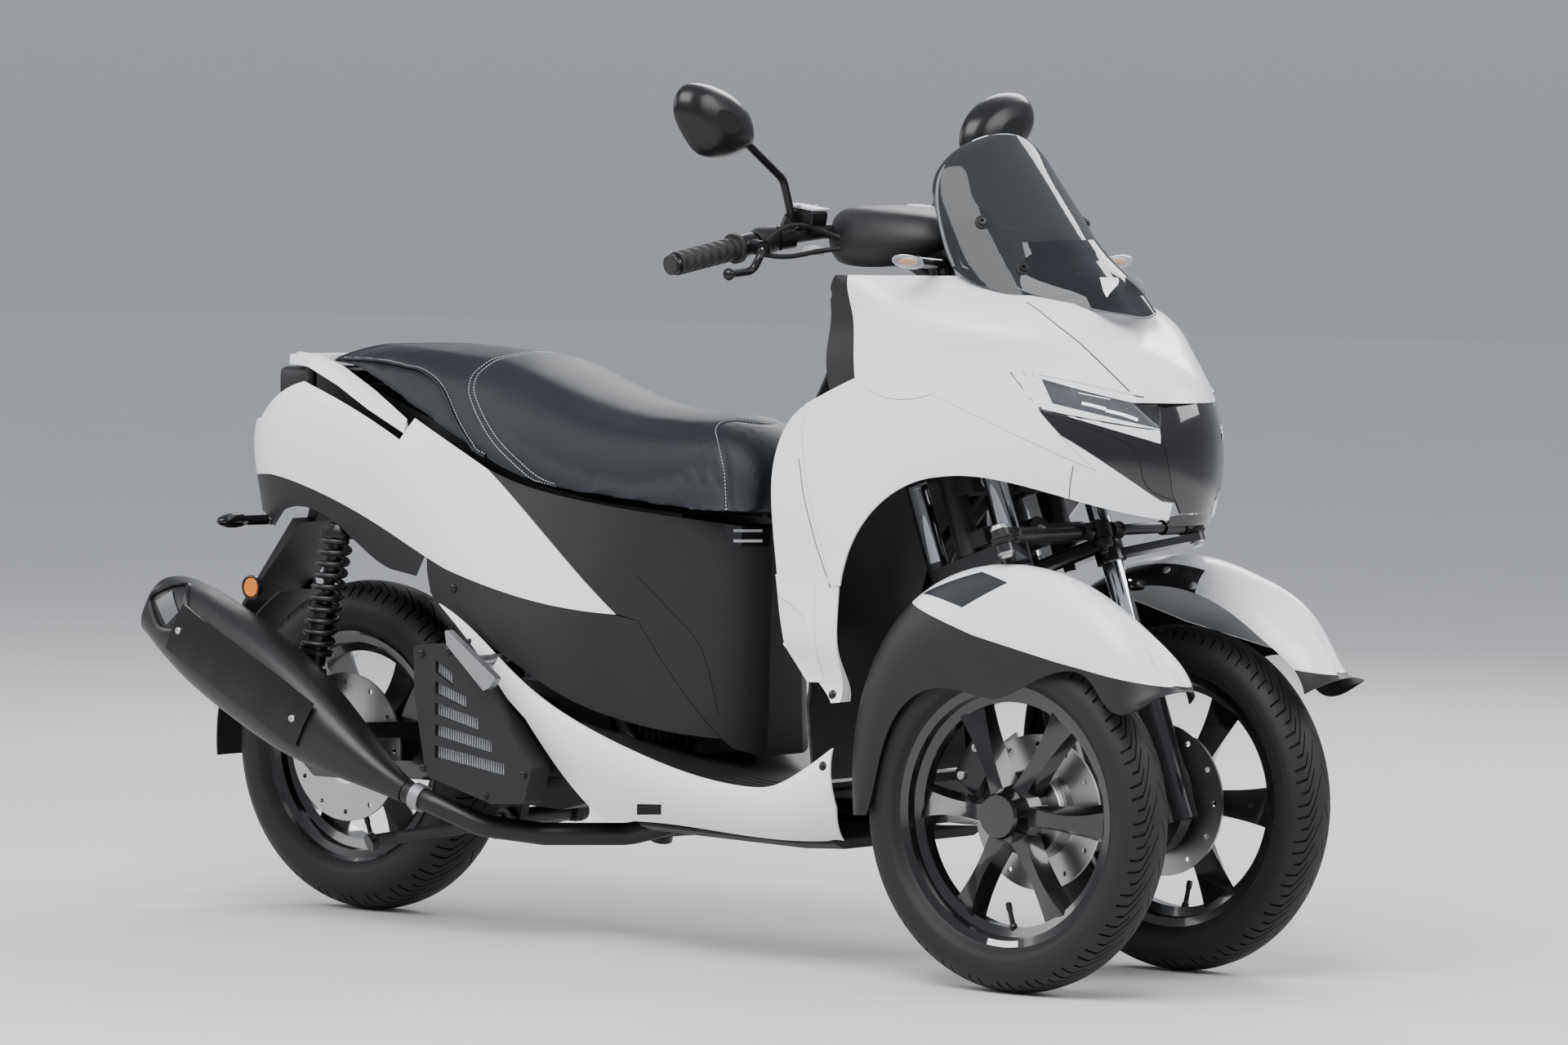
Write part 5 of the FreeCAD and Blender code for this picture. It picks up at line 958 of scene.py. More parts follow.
for side_name, sign in SIDES:
    knuckle = "knuckle_" + side_name
    outer = LEFT * sign
    rings = []
    for tube in (76, -62):
        rings.append(spun(RING, 40, leg(tube, sign * 110, 206), AXIS))
        rings.append(spun(TUBE_CAP, 32, leg(tube, sign * 110, 524), AXIS))
    piece("fork_rings_" + side_name, gather(rings), ring_grey, knuckle)
    middle = leg(11, sign * 110, 6)
    heads = bolt_circle(middle - outer * 0.013, 0.073, 0.5, -outer)
    screws("carrier_bolts_" + side_name, heads, SOCKET, 0.0055, zinc, knuckle)
    cap = spun(CARRIER_CAP, 48, middle - outer * 0.0131, -outer)
    piece("carrier_cap_" + side_name, cap, satin_black, knuckle)
    nut = spun(HEXAGON, 24, leg(148, sign * 225, 345.5), -AXIS, 0.008)
    piece("joint_nut_" + side_name, nut, zinc, knuckle)
    for name, rows, height, finish in (("cap", JOINT_CAP, 379.2, zinc), ("boot", BOOT, 359.5, grip_rubber)):
        joint = spun(rows, 32, leg(148, sign * 225, height), AXIS)
        piece("joint_" + name + "_" + side_name, joint, finish, "tie_rods")
    nuts = [spun(SLEEVE, 24, leg(148, sign * v, 370), LEFT) for v in (207, 36)]
    piece("rod_nuts_" + side_name, gather(nuts), satin_black, "tie_rods")
    hose = [leg(u, sign * v, w) for u, v, w in HOSE] + [spot(1322, sign * 142, 338)]
    cane("brake_hose_" + side_name, [hose], 0.0042, grip_rubber, knuckle)
    heart = spot(1410, sign * 145, 250) + CALIPER_OUT * 0.116
    heads = []
    for step in (-0.024, 0.024):
        heads.append((heart + CALIPER_ALONG * step + outer * 0.020 + CALIPER_OUT * 0.010, outer))
        heads.append((heart + CALIPER_ALONG * step - outer * 0.020, -outer))
    screws("caliper_bolts_" + side_name, heads, SOCKET, 0.0065, zinc, knuckle)
screws("centre_pin_nut", [(leg(148, 0, 375.5), AXIS)], HEXAGON, 0.0085, zinc, "handlebar")
screws("arm_bolts", [(leg(50, v, w), AHEAD) for v in (-96, 0, 96) for w in (401, 479)], HEXAGON, 0.0075)

# %% [markdown]
# Lamps. Behind each clear lens lies a ribbed grey reflector with three bright bars, and a
# thin white rim frames it. The reflector's ribs come from a wave across the lamp block, which
# is the part of the trim solid above a sloping line. A dark line marks the black band's edge.

# %% Headlights
trim_finish = Finish("trim_finish", (0.01, 0.01, 0.011), "dark_plastic", Roughness=0.14, Coat_Weight=0.6,
                     Coat_Roughness=0.05)
trim_x, trim_y, trim_z = trim_finish.axes()
above_band = (trim_z + (trim_x - 0.7331) * 0.221) > 0.8155
ribs = ((trim_x - trim_z * 0.9 + trim_y.math("ABSOLUTE") * -0.5) * 1500).math("SINE") * 0.5 + 0.5
trim_finish.feed("Base Color", trim_finish.blend(above_band, (0.008, 0.008, 0.009, 1), trim_finish.blend(
    ribs, (0.015, 0.017, 0.02, 1), (0.075, 0.08, 0.088, 1))))
trim_finish.feed("Metallic", above_band * 0.4)
trim_finish.feed("Roughness", trim_finish.steer(above_band, 0.12, 0.3))
trim_finish.bump(ribs * above_band, 0.0012, 0.6)
give(trim_finish, "nose_trim")
trim_skin = skin_of("nose_trim")
LAMP_NODES = ("front_cowl", "front_side_panels", "headlight_lenses", "nose_trim", "nose_lens")
shell_skin = skin_of(*LAMP_NODES)
LAMP_BARS = ([(1476, 150, 841), (1492, 140, 837), (1512, 124, 832)],
             [(1482, 149, 827), (1496, 138, 823), (1508, 128, 819)],
             [(1508, 128, 817), (1526, 110, 811), (1540, 96, 804)])
LENS_RIM = [(1430, 178, 867), (1480, 142, 855), (1538, 88, 838)]
BAND_LINE = [(1463, 170, 803), (1478, 160, 800), (1500, 144, 790), (1534, 113, 772), (1545, 101, 752),
             (1549, 94, 722), (1556, 82, 704), (1572, 50, 690)]


def lamp_line(points, sign, tree, count):
    """Line on the lamps' outside, from points in the side view, seen half from the front."""
    return drape(tree, [spot(x, sign * y, z) for x, y, z in points], (-0.75, -sign, 0), count)


for side_name, sign in SIDES:
    bars = [tape(lamp_line(points, sign, trim_skin, 24), 0.0042, 0.00012, 0.0001) for points in LAMP_BARS]
    piece("light_bars_" + side_name, gather(bars), lit)
    rim = lamp_line(LENS_RIM, sign, shell_skin, 60)
    piece("lens_rim_" + side_name, tape(rim, 0.0032, 0.0012, 0.0006), white_paint)
    band = lamp_line(BAND_LINE, sign, shell_skin, 60)
    piece("band_line_" + side_name, tape(band, 0.0016, 0.0004, 0.0001), satin_black)
print("headlight pieces on both sides")

# %% [markdown]
# Panel seams. Where two mouldings meet without a change of colour, the solid has no line, so
# a very narrow dark tape stands for the gap. Creases that catch the light stay with the
# solids.

# %% Seams
def seam(name, points, way, nodes_under, width=0.0018, finish=seam_dark, lift=0.00025):
    """Tape along drawn points on the right side, and mirrored on the left."""
    tree = skin_of(*nodes_under)
    lines = [drape(tree, [spot(x, sign * y, z) for x, y, z in points], (way[0], sign * way[1], way[2]), 70)
             for sign in (1, -1)]
    return piece(name, gather([tape(line, width, lift) for line in lines]), finish)


seam("hood_seam", [(1372, -135, 966), (1424, -140, 938), (1460, -127, 910), (1502, -109, 869),
                   (1530, -95, 840), (1541, -83, 836)], (-0.6, 0.6, -0.5), ("front_cowl",))
seam("blade_seam", [(1479, -163, 740), (1478, -163, 735), (1474, -163, 717), (1470, -161, 694)], (-0.5, 1, 0),
     ("front_side_panels",), 0.0014)
seam("strip_seam", [(1052, -247, 738), (1056, -247, 722), (1061, -248, 694), (1069, -248, 667),
                    (1087, -247, 614), (1113, -247, 556)], (0, 1, 0), ("front_side_panels",), 0.0014)
seam("body_seam", [(667, -150, 551), (711, -137, 509), (751, -118, 464), (766, -110, 430),
                   (775, -105, 393), (784, -100, 350)], (-0.4, 1, 0), ("body_cover", "side_covers"), 0.002)

# %% [markdown]
# The leg strip's rear edge is one smooth line on the real panel. A thin white flap closes
# the hollow in the solid's edge, from the edge line to a line on the panel. The panel leans
# outwards as it rises, so the edge line does too.

# %% Leg strip flap
STRIP_EDGE = [(1009, 572), (1011, 548), (1013, 522), (1016, 498), (1022, 470), (1040, 446), (1060, 420)]
STRIP_FOOT_Y, STRIP_FOOT_Z, STRIP_LEAN = 231.6, 404, 0.0727
panel_skin = skin_of("front_side_panels")
flaps = []
for sign in (1, -1):
    panel_points = [spot(1086, -sign * 400, z) for z in (572, 522, 470, 420)]
    inner_line = drape(panel_skin, panel_points, (0, sign, 0), 24)
    edge_line = [spot(x, -sign * (STRIP_FOOT_Y + (z - STRIP_FOOT_Z) * STRIP_LEAN), z) for x, z in STRIP_EDGE]
    flap = []
    for far, (place, _) in zip(smooth_line(edge_line, 24), inner_line):
        flap += [far.lerp(place - LEFT * sign * 0.0008, share) for share in (0, 0.5, 1)]
    flaps.append((flap, grid(len(flap) // 3 - 1, 2)))
piece("leg_strip_flaps", gather(flaps), white_paint)
print("flap rows:", len(flap) // 3)

# %% [markdown]
# Each front fender is white outside, and dark where it tucks in behind the fork. That edge
# runs across one moulding, so it is a mask on the place along and across the fender.

# %% Fender paint
fender_paint = varied("fender_paint", WHITE, (14, 3, 0.28, 0.42), slot="white_paint", **PAINT)
fender_x, fender_y, _ = fender_paint.axes()
tucked = (fender_y.math("ABSOLUTE") < 0.161) * (fender_x < 0.770)
fender_paint.feed("Base Color", fender_paint.blend(tucked, (*WHITE, 1), (*DARK, 1)))
give(fender_paint, "fender_upper_left", "fender_upper_right")
print("fenders painted")

# %% [markdown]
# Flat areas that change colour lie on a panel like a thin film: a dark patch on each front
# fender, the vents in the floor's side, the front pocket with two bars across it, and the
# white corner and wedge that frame each lamp.

# %% Patches
def patch(name, corners, way, nodes_under, finish, body="chassis", lift=0.0003, count=14, both=True):
    """Four-cornered film on a surface, divided so that it follows the curve."""
    tree = skin_of(*nodes_under)
    shapes = []
    for sign in ((1, -1) if both else (1,)):
        a, b, c, d = [spot(x, sign * y, z) for x, y, z in corners]
        ray = Vector((way[0], sign * way[1], way[2])).normalized()
        points = []
        for row in range(count + 1):
            for column in range(count + 1):
                s, t = column / count, row / count
                target = (a.lerp(b, s)).lerp(d.lerp(c, s), t)
                place, normal, _, _ = tree.ray_cast(target - ray * 0.5, ray)
                place, normal = (place, normal) if place else tree.find_nearest(target)[:2]
                normal = normal if normal.dot(ray) < 0 else -normal
                points.append(place + normal * lift)
        shapes.append((points, grid(count, count)))
    return piece(name, gather(shapes), finish, body)


for side_name, sign in SIDES:
    patch("fender_patch_" + side_name, [(x, sign * y, z) for x, y, z in (
        (1262, 224, 553), (1371, 228, 589), (1423, 237, 577), (1350, 247, 540))], (0, -sign, -0.7),
        ("fender_upper_" + side_name,), decal, "knuckle_" + side_name, both=False)
patch("floor_vents", [(721, -209, 222), (774, -216, 225), (764, -204, 209), (711, -197, 205)], (0, 1, 0.4),
      ("floor_side_panels",), seam_dark)
patch("front_pocket", [(786, -92, 632), (827, -36, 632), (826, -38, 598), (790, -88, 598)], (-0.7, 0.7, 0),
      ("body_cover",), gloss_black)
for name, z in (("pocket_bar_upper", 621), ("pocket_bar_lower", 606)):
    seam(name, [(794, -82, z), (806, -68, z), (820, -48, z)], (-0.7, 0.7, 0), ("body_cover",), 0.004,
         silver_paint, 0.002)
patch("lamp_corner", [(1392, -197, 872), (1428, -180, 870), (1452, -174, 822), (1431, -186, 815)],
      (-0.75, 1, 0), LAMP_NODES, white_paint, lift=0.0010)
patch("lamp_wedge", [(1438, -182, 829), (1563, -74, 791), (1563, -74, 771), (1440, -181, 818)],
      (-0.75, 1, 0), LAMP_NODES, white_paint, lift=0.0012, count=24)
print("films on the panels done")

# %% [markdown]
# The windscreen has a soft rim that catches the light. Its foot is a tinted tongue that lies
# over the hood: rows of points on the screen's own curve are lifted clear of the hood where
# they would sink into it, and the lifts are smoothed so that the sheet stays fair. Two bolts
# with rubber washers hold each side of the screen to its bracket.

# %% Windscreen details
SCREEN_EDGE = [(1257, 154, 1014), (1245, 155, 1036), (1232, 150, 1062), (1216, 143, 1100), (1204, 128, 1139),
               (1208, 104, 1168), (1219, 72, 1188), (1226, 34, 1200), (1228, 0, 1202)]
SCREEN_ROWS = [(895, 1474, 148, 124), (960, 1423, 153, 126), (1011, 1383, 155, 125), (1060, 1345, 150, 112)]
FOOT_LINE = [(1243, 1028), (1256, 1013), (1319, 983), (1385, 954), (1425, 935), (1449, 926), (1520, 914)]
FOOT_TOP, FOOT_LOWEST = 1046, 900
COLUMNS, ROWS = 60, 18
edge = [spot(*p) for p in SCREEN_EDGE]
cane("screen_rim", [edge + list(reversed(flipped(edge[:-1])))], 0.0026, ring_grey)


def between(rows, at):
    """Straight interpolation in a table whose first column rises."""
    for low, high in zip(rows, rows[1:]):
        if at <= high[0]:
            break
    share = (at - low[0]) / (high[0] - low[0])
    return [a + (b - a) * share for a, b in zip(low[1:], high[1:])]


def screen_place(across, z):
    """Point of the screen at a height; across goes from -1 to 1."""
    middle, half, depth = between(SCREEN_ROWS, z)
    return spot(middle - depth * abs(across) ** 2.3, across * half, z)


def around_cell(values, index, reach):
    """Values of the cells near one cell of the sheet."""
    column, row = divmod(index, ROWS + 1)
    return [values[c * (ROWS + 1) + r] for c in range(max(0, column - reach), min(COLUMNS, column + reach) + 1)
            for r in range(max(0, row - reach), min(ROWS, row + reach) + 1)]


cowl_skin = skin_of("front_cowl")
screen_way = Vector((0.79, 0, 0.62))
nominal, lifts = [], []
for column in range(COLUMNS + 1):
    across = (column / COLUMNS * 2 - 1) * 0.985
    z = FOOT_TOP
    while z > FOOT_LOWEST and z > between(FOOT_LINE, screen_place(across, z).x * 1000 + REAR_AXLE)[0]:
        z -= 1
    for row in range(ROWS + 1):
        place = screen_place(across, FOOT_TOP + (z - FOOT_TOP) * row / ROWS)
        struck, normal, _, _ = cowl_skin.ray_cast(place + screen_way * 0.07, -screen_way, 0.07)
        rise = (struck - place).dot(screen_way) if struck and normal.z > 0 else 0
        nominal.append(place)
        lifts.append(max(rise, 0))
lifts = [max(around_cell(lifts, index, 3)) for index in range(len(lifts))]
for _ in range(4):
    lifts = [sum(near) / len(near) for near in (around_cell(lifts, index, 4) for index in range(len(lifts)))]
foot_points = [place + screen_way * (lift + 0.0022) for place, lift in zip(nominal, lifts)]
screen_foot = clear_sheet("screen_foot", (0.012, 0.014, 0.017), 0.80, slot="smoked_screen")
piece("screen_foot", (foot_points, grid(COLUMNS, ROWS)), screen_foot, crisp=60)
cane("screen_foot_rim", [foot_points[ROWS::ROWS + 1][::3]], 0.0014, ring_grey)
print("screen foot lifts up to", round(max(lifts) * 1000), "mm")

screen_skin = skin_of("windscreen")
screen_heads = []
for x, y, z in ((1281, 121, 1077), (1343, 105, 1012)):
    for sign in (1, -1):
        place, normal, _, _ = screen_skin.find_nearest(spot(x, sign * y, z))
        screen_heads.append((place, normal if normal.x > 0 else -normal))
screws("screen_bolts", screen_heads, SOCKET, 0.006, satin_black)
WASHER = [(0.0105, -0.0005), (0.0105, 0.0012), (0.009, 0.002), (0.006, 0.002)]
washers = [spun(WASHER, 28, place, normal) for place, normal in screen_heads]
piece("screen_washers", gather(washers), grip_rubber)

# %% [markdown]
# Controls: ribbed grips with end weights, switch boxes with buttons, brake fluid reservoirs
# with silver lids, hoses that run into the cover, and the mirrors' glass.

# %% Handlebar details
grip_ridges = moulded("grip_ridges", (0.014, 0.014, 0.014), 0.55, 0.7, 500, 0.3, "grip_rubber")
ridge_x, ridge_y, _ = grip_ridges.axes()
grip_ridges.bump((ridge_y.math("ABSOLUTE") * 420 + ridge_x * 160).math("SINE"), 0.0015, 0.8)
give(grip_ridges, "grips")
give(satin_black, "brake_levers", "mirrors")
BAR_END = [(0.0, 0.0), (0.0125, 0.0), (0.0148, 0.002), (0.0148, 0.016), (0.013, 0.0185), (0.006, 0.0185),
           (0.005, 0.013), (0, 0.013)]
SWITCH_BOX = [(0.0155, -0.022), (0.0188, -0.020), (0.0205, -0.012), (0.0205, 0.010), (0.0185, 0.016),
              (0.0155, 0.018)]
MIRROR = [(-83, -22), (-76, 4), (-42, 35), (0, 50), (36, 54), (60, 49), (75, 30), (75, 8), (56, -20),
          (26, -45), (-13, -52), (-60, -43)]
STEPS = 60
mirror_edge = smooth_line([Vector((0, y * 0.90, z * 0.90)) / 1000 for y, z in MIRROR], STEPS, closed=True)
tilt = Vector((0.15, 0, 1))


def control(name, shape, finish):
    """One piece of the controls on the side that is being made."""
    piece(name + "_" + side_name, shape, finish, "handlebar")


for side_name, sign in SIDES:
    inner, outer = spot(940, sign * 189, 1048), spot(918, sign * 375, 1012)
    along = (outer - inner).normalized()
    control("bar_end", spun(BAR_END, 32, outer - along * 0.020, along), satin_black)
    perch = inner + along * (0.0657 - 0.026)
    control("switch_box", spun(SWITCH_BOX, 36, perch - along * 0.036, along), dark_plastic)
    rear = Vector((-1, 0, 0.25)).normalized()
    control("buttons", gather([
        spun([(wide, -0.002), (wide, 0.0016), (wide * 0.8, 0.0026), (0, 0.003)], 20,
             perch - along * (0.036 - shift) + rear * 0.0200, rear)
        for shift, wide in ((-0.010, 0.0042), (0.002, 0.0052))]), ring_grey)
    tank = spot(975, sign * 140, 1084)
    cup = block((-0.018, -0.026, -0.012), (0.018, 0.026, 0.010), 0.004)
    control("reservoir", stand(cup, tank, tilt), satin_black)
    lid = block((-0.019, -0.027, 0.010), (0.019, 0.027, 0.0145), 0.0018)
    control("reservoir_lid", stand(lid, tank, tilt), silver_paint)
    upward = tilt.normalized()
    heads = [(tank + upward * 0.0145 + Vector((0, y, 0)), upward) for y in (-0.020, 0.020)]
    screws("lid_screws_" + side_name, heads, DOME, 0.0028, zinc, "handlebar")
    control("reservoir_neck", spun([(0.010, -0.026), (0.008, -0.012)], 20, tank, upward), satin_black)
    bracket = block((-0.014, -0.010, -0.006), (0.016, 0.010, 0.006), 0.003)
    control("lever_bracket", stand(bracket, spot(984, sign * 136, 1034), Vector((0.2, 0, 1))), silver_paint)
    hoses = []
    for near, far in ((((30, 10, 6), (42, 30, 30), (55, 70, 36)), ((1010, 118, 1052), (1040, 108, 1050))),
                      (((20, 12, -12), (40, 40, -20), (60, 80, -6)), ((1014, 116, 1036), (1046, 106, 1040)))):
        hoses.append([perch + Vector((x, -sign * y, z)) / 1000 for x, y, z in near]
                     + [spot(x, sign * y, z) for x, y, z in far])
    cane("hoses_" + side_name, hoses, 0.0036, grip_rubber, "handlebar")
    heart = spot(958, sign * 330, 1216) + Vector((-0.0123, 0, 0))
    sunk = heart + Vector((-0.0008, 0, 0))
    glass = [heart + Vector((0, p.y * sign, p.z)) for p in mirror_edge]
    glass += [sunk + Vector((0, p.y * sign * 0.985, p.z * 0.985)) for p in mirror_edge] + [sunk]
    faces = [(i, (i + 1) % STEPS, (i + 1) % STEPS + STEPS, i + STEPS) for i in range(STEPS)]
    faces += [(i + STEPS, (i + 1) % STEPS + STEPS, 2 * STEPS) for i in range(STEPS)]
    piece("mirror_glass_" + side_name, (glass, faces), mirror_glass, "handlebar", 15)

# %% [markdown]
# The instrument has a dark glass face with a plain dial: a ring of ticks and no words, and
# a small grey screen beside it.

# %% Instrument
patch("meter_glass", [(1215, -78, 1013), (1215, 78, 1013), (1220, 80, 1053), (1220, -80, 1053)], (1, 0, 0),
      ("meter",), gloss_black, lift=0.0008, both=False)
patch("meter_screen", [(1216, -60, 1018), (1216, -26, 1018), (1219, -26, 1046), (1219, -60, 1046)], (1, 0, 0),
      ("meter",), ring_grey, lift=0.0012, both=False)
dial = spot(1217, 0, 1031) + Vector((-0.003, 0, 0))
ticks = []
for step in range(13):
    turn = math.radians(210 - 20 * step)
    ray = Vector((0, -math.cos(turn), math.sin(turn)))
    ticks.append([dial + ray * reach for reach in (0.0125, 0.014, 0.0155)])
cane("dial_ticks", ticks, 0.0003, blank_white, exact=True)
print("ticks on the dial:", len(ticks))

# %% [markdown]
# The rear dampers each have a coil spring that is really a helix, so the plain solid is
# replaced: a damper body, a dark rod, the spring, and an eye at each end.

# %% Rear dampers
COILS, COIL_RADIUS, STEPS_PER_COIL = 9.5, 0.0222, 20
LOW_CUP = [(0, 0.012), (0.013, 0.012), (0.018, 0.018), (0.018, 0.032), (0.0265, 0.034), (0.0265, 0.040),
           (0.018, 0.042), (0.0165, 0.110), (0.012, 0.112)]
TOP_CUP = [(0.0, 0.014), (0.016, 0.014), (0.020, 0.022), (0.0265, 0.026), (0.0265, 0.032), (0.010, 0.034),
           (0.010, 0.05), (0.006, 0.05)]
for side_name, sign in SIDES:
    low, high = spot(2, sign * 143, 372), spot(50, sign * 130, 618)
    length = (high - low).length
    way = (high - low).normalized()
    top_cup = [(radius, length - drop) for radius, drop in TOP_CUP]
    parts = [spun(LOW_CUP, 36, low, way), spun(top_cup, 36, low, way)]
    for end, radius, half in ((low, 0.015, 0.011), (high, 0.013, 0.010)):
        eye = [(0.0062, -half), (radius, -half), (radius, half), (0.0062, half), (0.0062, -half)]
        parts.append(spun(eye, 32, end, LEFT))
    body = piece("damper_" + side_name, gather(parts), satin_black)
    if sign == 1:
        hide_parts("rear_shocks")
    rod = [(0.0125, length - 0.050), (0.0125, 0.150), (0.009, 0.148), (0.009, 0.105)]
    piece("damper_rod_" + side_name, spun(rod, 24, low, way), satin_black)
    side_way = way.cross(LEFT).normalized()
    other = way.cross(side_way)
    helix = []
    for step in range(int(COILS * STEPS_PER_COIL) + 1):
        turn = math.tau * step / STEPS_PER_COIL
        height = 0.044 + (length - 0.044 - 0.036) * step / (COILS * STEPS_PER_COIL)
        helix.append(low + way * height + (side_way * math.cos(turn) + other * math.sin(turn)) * COIL_RADIUS)
    cane("spring_" + side_name, [helix], 0.0048, black_steel)
print("dampers:", round(length * 1000), "mm between the eyes")

# %% [markdown]
# The turn signals are one solid each, a dark housing with a clear lens. The housing is where
# a point lies near the middle of the vehicle, so a mask on the place makes that part black
# and closes it, and the rest lets light through.

# %% Signal lenses
signal_lens = Finish("signal_lens", (0.55, 0.58, 0.62), "clear_lens", Roughness=0.05, IOR=1.49)
signal_x, signal_y, _ = signal_lens.axes()
housing = (signal_x < -0.4) * (signal_x > -0.8475) + (signal_x > -0.4) * (signal_y.math("ABSOLUTE") < 0.219)
signal_lens.feed("Base Color", signal_lens.blend(housing, (0.55, 0.58, 0.62, 1), (0.006, 0.006, 0.0065, 1)))
see_through(signal_lens, (0.75, 0.77, 0.8), facing(signal_lens, 0.22, 0.67) + housing)
give(signal_lens, "turn_signals")
print("signal lens has", len(signal_lens.tree.nodes), "nodes")

# %% [markdown]
# The tail: lit bands behind the red glass, amber bulbs in the clear signals, a blank number
# plate on its two screws, and round reflectors in dishes. A dark core fills the hollow
# between the tail's covers, so that no daylight shows through it.

# %% Tail details
piece("tail_core", block(spot(-150, -66, 776), spot(8, 66, 842), 0.012), dark_plastic)
lamp_face = skin_of("tail_lamp")
bands = []
for z in (702, 716, 730):
    band = drape(lamp_face, [spot(-300, y, z) for y in (-52, -26, 0, 26, 52)], (1, 0, 0), 30)
    bands.append(tape(band, 0.005, 0.0002))
piece("tail_bands", gather(bands), glow)
ball_rows = [(0.62 * math.sin(math.radians(a)), -0.62 * math.cos(math.radians(a))) for a in range(0, 181, 20)]
ball_points, ball_faces = turned(ball_rows, 20)
bulbs = []
for x, y, z, wide, long, high in ((1247, 246, 1021, 17, 30, 10), (-140, 172, 604, 14, 34, 12)):
    bulb = [Vector((p.x * wide, p.y * high, p.z * long)) / 1000 for p in ball_points], ball_faces
    bulbs += [stand(bulb, spot(x, sign * y, z), LEFT * sign) for sign in (1, -1)]
piece("signal_bulbs", gather(bulbs), amber)
holder = spot(-226, 0, 470)
slope = (holder - spot(-295, 0, 330)).normalized()
outward = Vector((-slope.z, 0, slope.x))
plate_heart = holder - slope * 0.068 + outward * 0.0045
plate = block((-0.0012, -0.090, -0.062), (0.0012, 0.090, 0.062), 0.0008)
plate_points = [plate_heart + outward * p.x + LEFT * p.y + slope * p.z for p in plate[0]]
piece("blank_plate", (plate_points, plate[1]), blank_white)
plate_screws = [(spot(-226, y, 470) - slope * 0.060 + outward * 0.0060, outward) for y in (-35, 35)]
screws("plate_screws", plate_screws, DOME, 0.0055)
REFLECTOR = [(0.0, 0.004), (0.014, 0.0035), (0.016, 0.001), (0.016, -0.002)]
DISH = [(0.0, -0.003), (0.0195, -0.003), (0.0195, 0.0025), (0.0165, 0.0035), (0.0162, 0.001)]
for name, rows, steps, finish in (("side_reflectors", REFLECTOR, 32, amber),
                                  ("reflector_dishes", DISH, 36, satin_black)):
    pair = [spun(rows, steps, spot(-206, sign * 62, 494), LEFT * sign) for sign in (1, -1)]
    piece(name, gather(pair), finish)
print("plate leans", round(math.degrees(math.atan2(slope.x, slope.z))), "degrees")

# %% [markdown]
# The exhaust has a broad guard along its side, held by two screws. A raised frame finishes the end, with a
# painted highlight inside it as a grey stripe. A rim runs round the outlet, and a clamp closes the pipe's
# joint.

# %% Exhaust
exhaust_black = varied("exhaust_black", (0.0065, 0.0065, 0.007), (60, 4, 0.34, 0.5),
                       bump=(900, 2, 0.0004, 0.25), slot="black_steel", Roughness=0.42)
give(exhaust_black, "exhaust")


def side_line(tree, points, y, count):
    """Line on a surface, from (x, z) points seen from the side where y lies."""
    return drape(tree, [spot(x, y, z) for x, z in points], (0, -y, 0), count)


muffler_skin = skin_of("exhaust")
guard_line = side_line(muffler_skin, ((-150, 446), (-60, 400), (40, 350), (120, 306)), -400, 40)
piece("exhaust_guard", tape(guard_line, 0.078, 0.0030, 0.0030), satin_black)
END_FRAME = [(-208, 492), (-172, 506), (-148, 500), (-124, 452), (-132, 440), (-176, 438), (-194, 450),
             (-212, 480), (-208, 492)]
piece("exhaust_frame", tape(side_line(muffler_skin, END_FRAME, -400, 72), 0.007, 0.0035, 0.0012), satin_black)
# The grey stripe inside the end's frame is a painted highlight, not a part of the exhaust.
highlight_line = side_line(muffler_skin, ((-184, 490), (-170, 472), (-158, 456)), -400, 12)
piece("exhaust_end_highlight", tape(highlight_line, 0.034, 0.0006), ring_grey)
heads = [(place + normal * 0.0045, normal) for place, normal in (guard_line[2], guard_line[36])]
screws("guard_screws", heads, SOCKET, 0.0055)
lean = math.radians(28 + 90)
tail_axis = -Vector((math.sin(lean), 0, math.cos(lean)))
across_cap = tail_axis.cross(LEFT).normalized()


def squared(value):
    """Part of a circle's place that makes it a rounded square."""
    return math.copysign(abs(value) ** 0.72, value)


cap_ring = []
for step in range(48):
    turn = math.tau * step / 48
    cap_ring.append(spot(-226, -232, 474) + across_cap * squared(math.cos(turn)) * 0.0455
                    + LEFT * squared(math.sin(turn)) * 0.0395 + tail_axis * 0.0005)
cane("exhaust_rim", [cap_ring], 0.0034, satin_black, closed=True, exact=True)
clamp = [(0.0172, -0.009), (0.0205, -0.009), (0.0205, 0.009), (0.0172, 0.009)]
pipe_way = spot(330, -226, 200) - spot(284, -232, 214)
piece("exhaust_clamp", spun(clamp, 32, spot(307, -229, 207), pipe_way), cast_alloy)
print("guard is", round((guard_line[0][0] - guard_line[-1][0]).length * 1000), "mm long")

# %% [markdown]
# The engine unit. Castings get cover bolts, ribs, a filler cap and cooling fins on the
# barrel, and rubber hoses lead coolant to the radiator, whose fins are real thin plates.

# %% Engine details
def side_bolts(name, y, points, outline, radius, finish=None):
    """Bolts on one upright face, at (x, z) points."""
    out = LEFT * math.copysign(1, y)
    screws(name, [(spot(x, y, z), out) for x, z in points], outline, radius, finish)


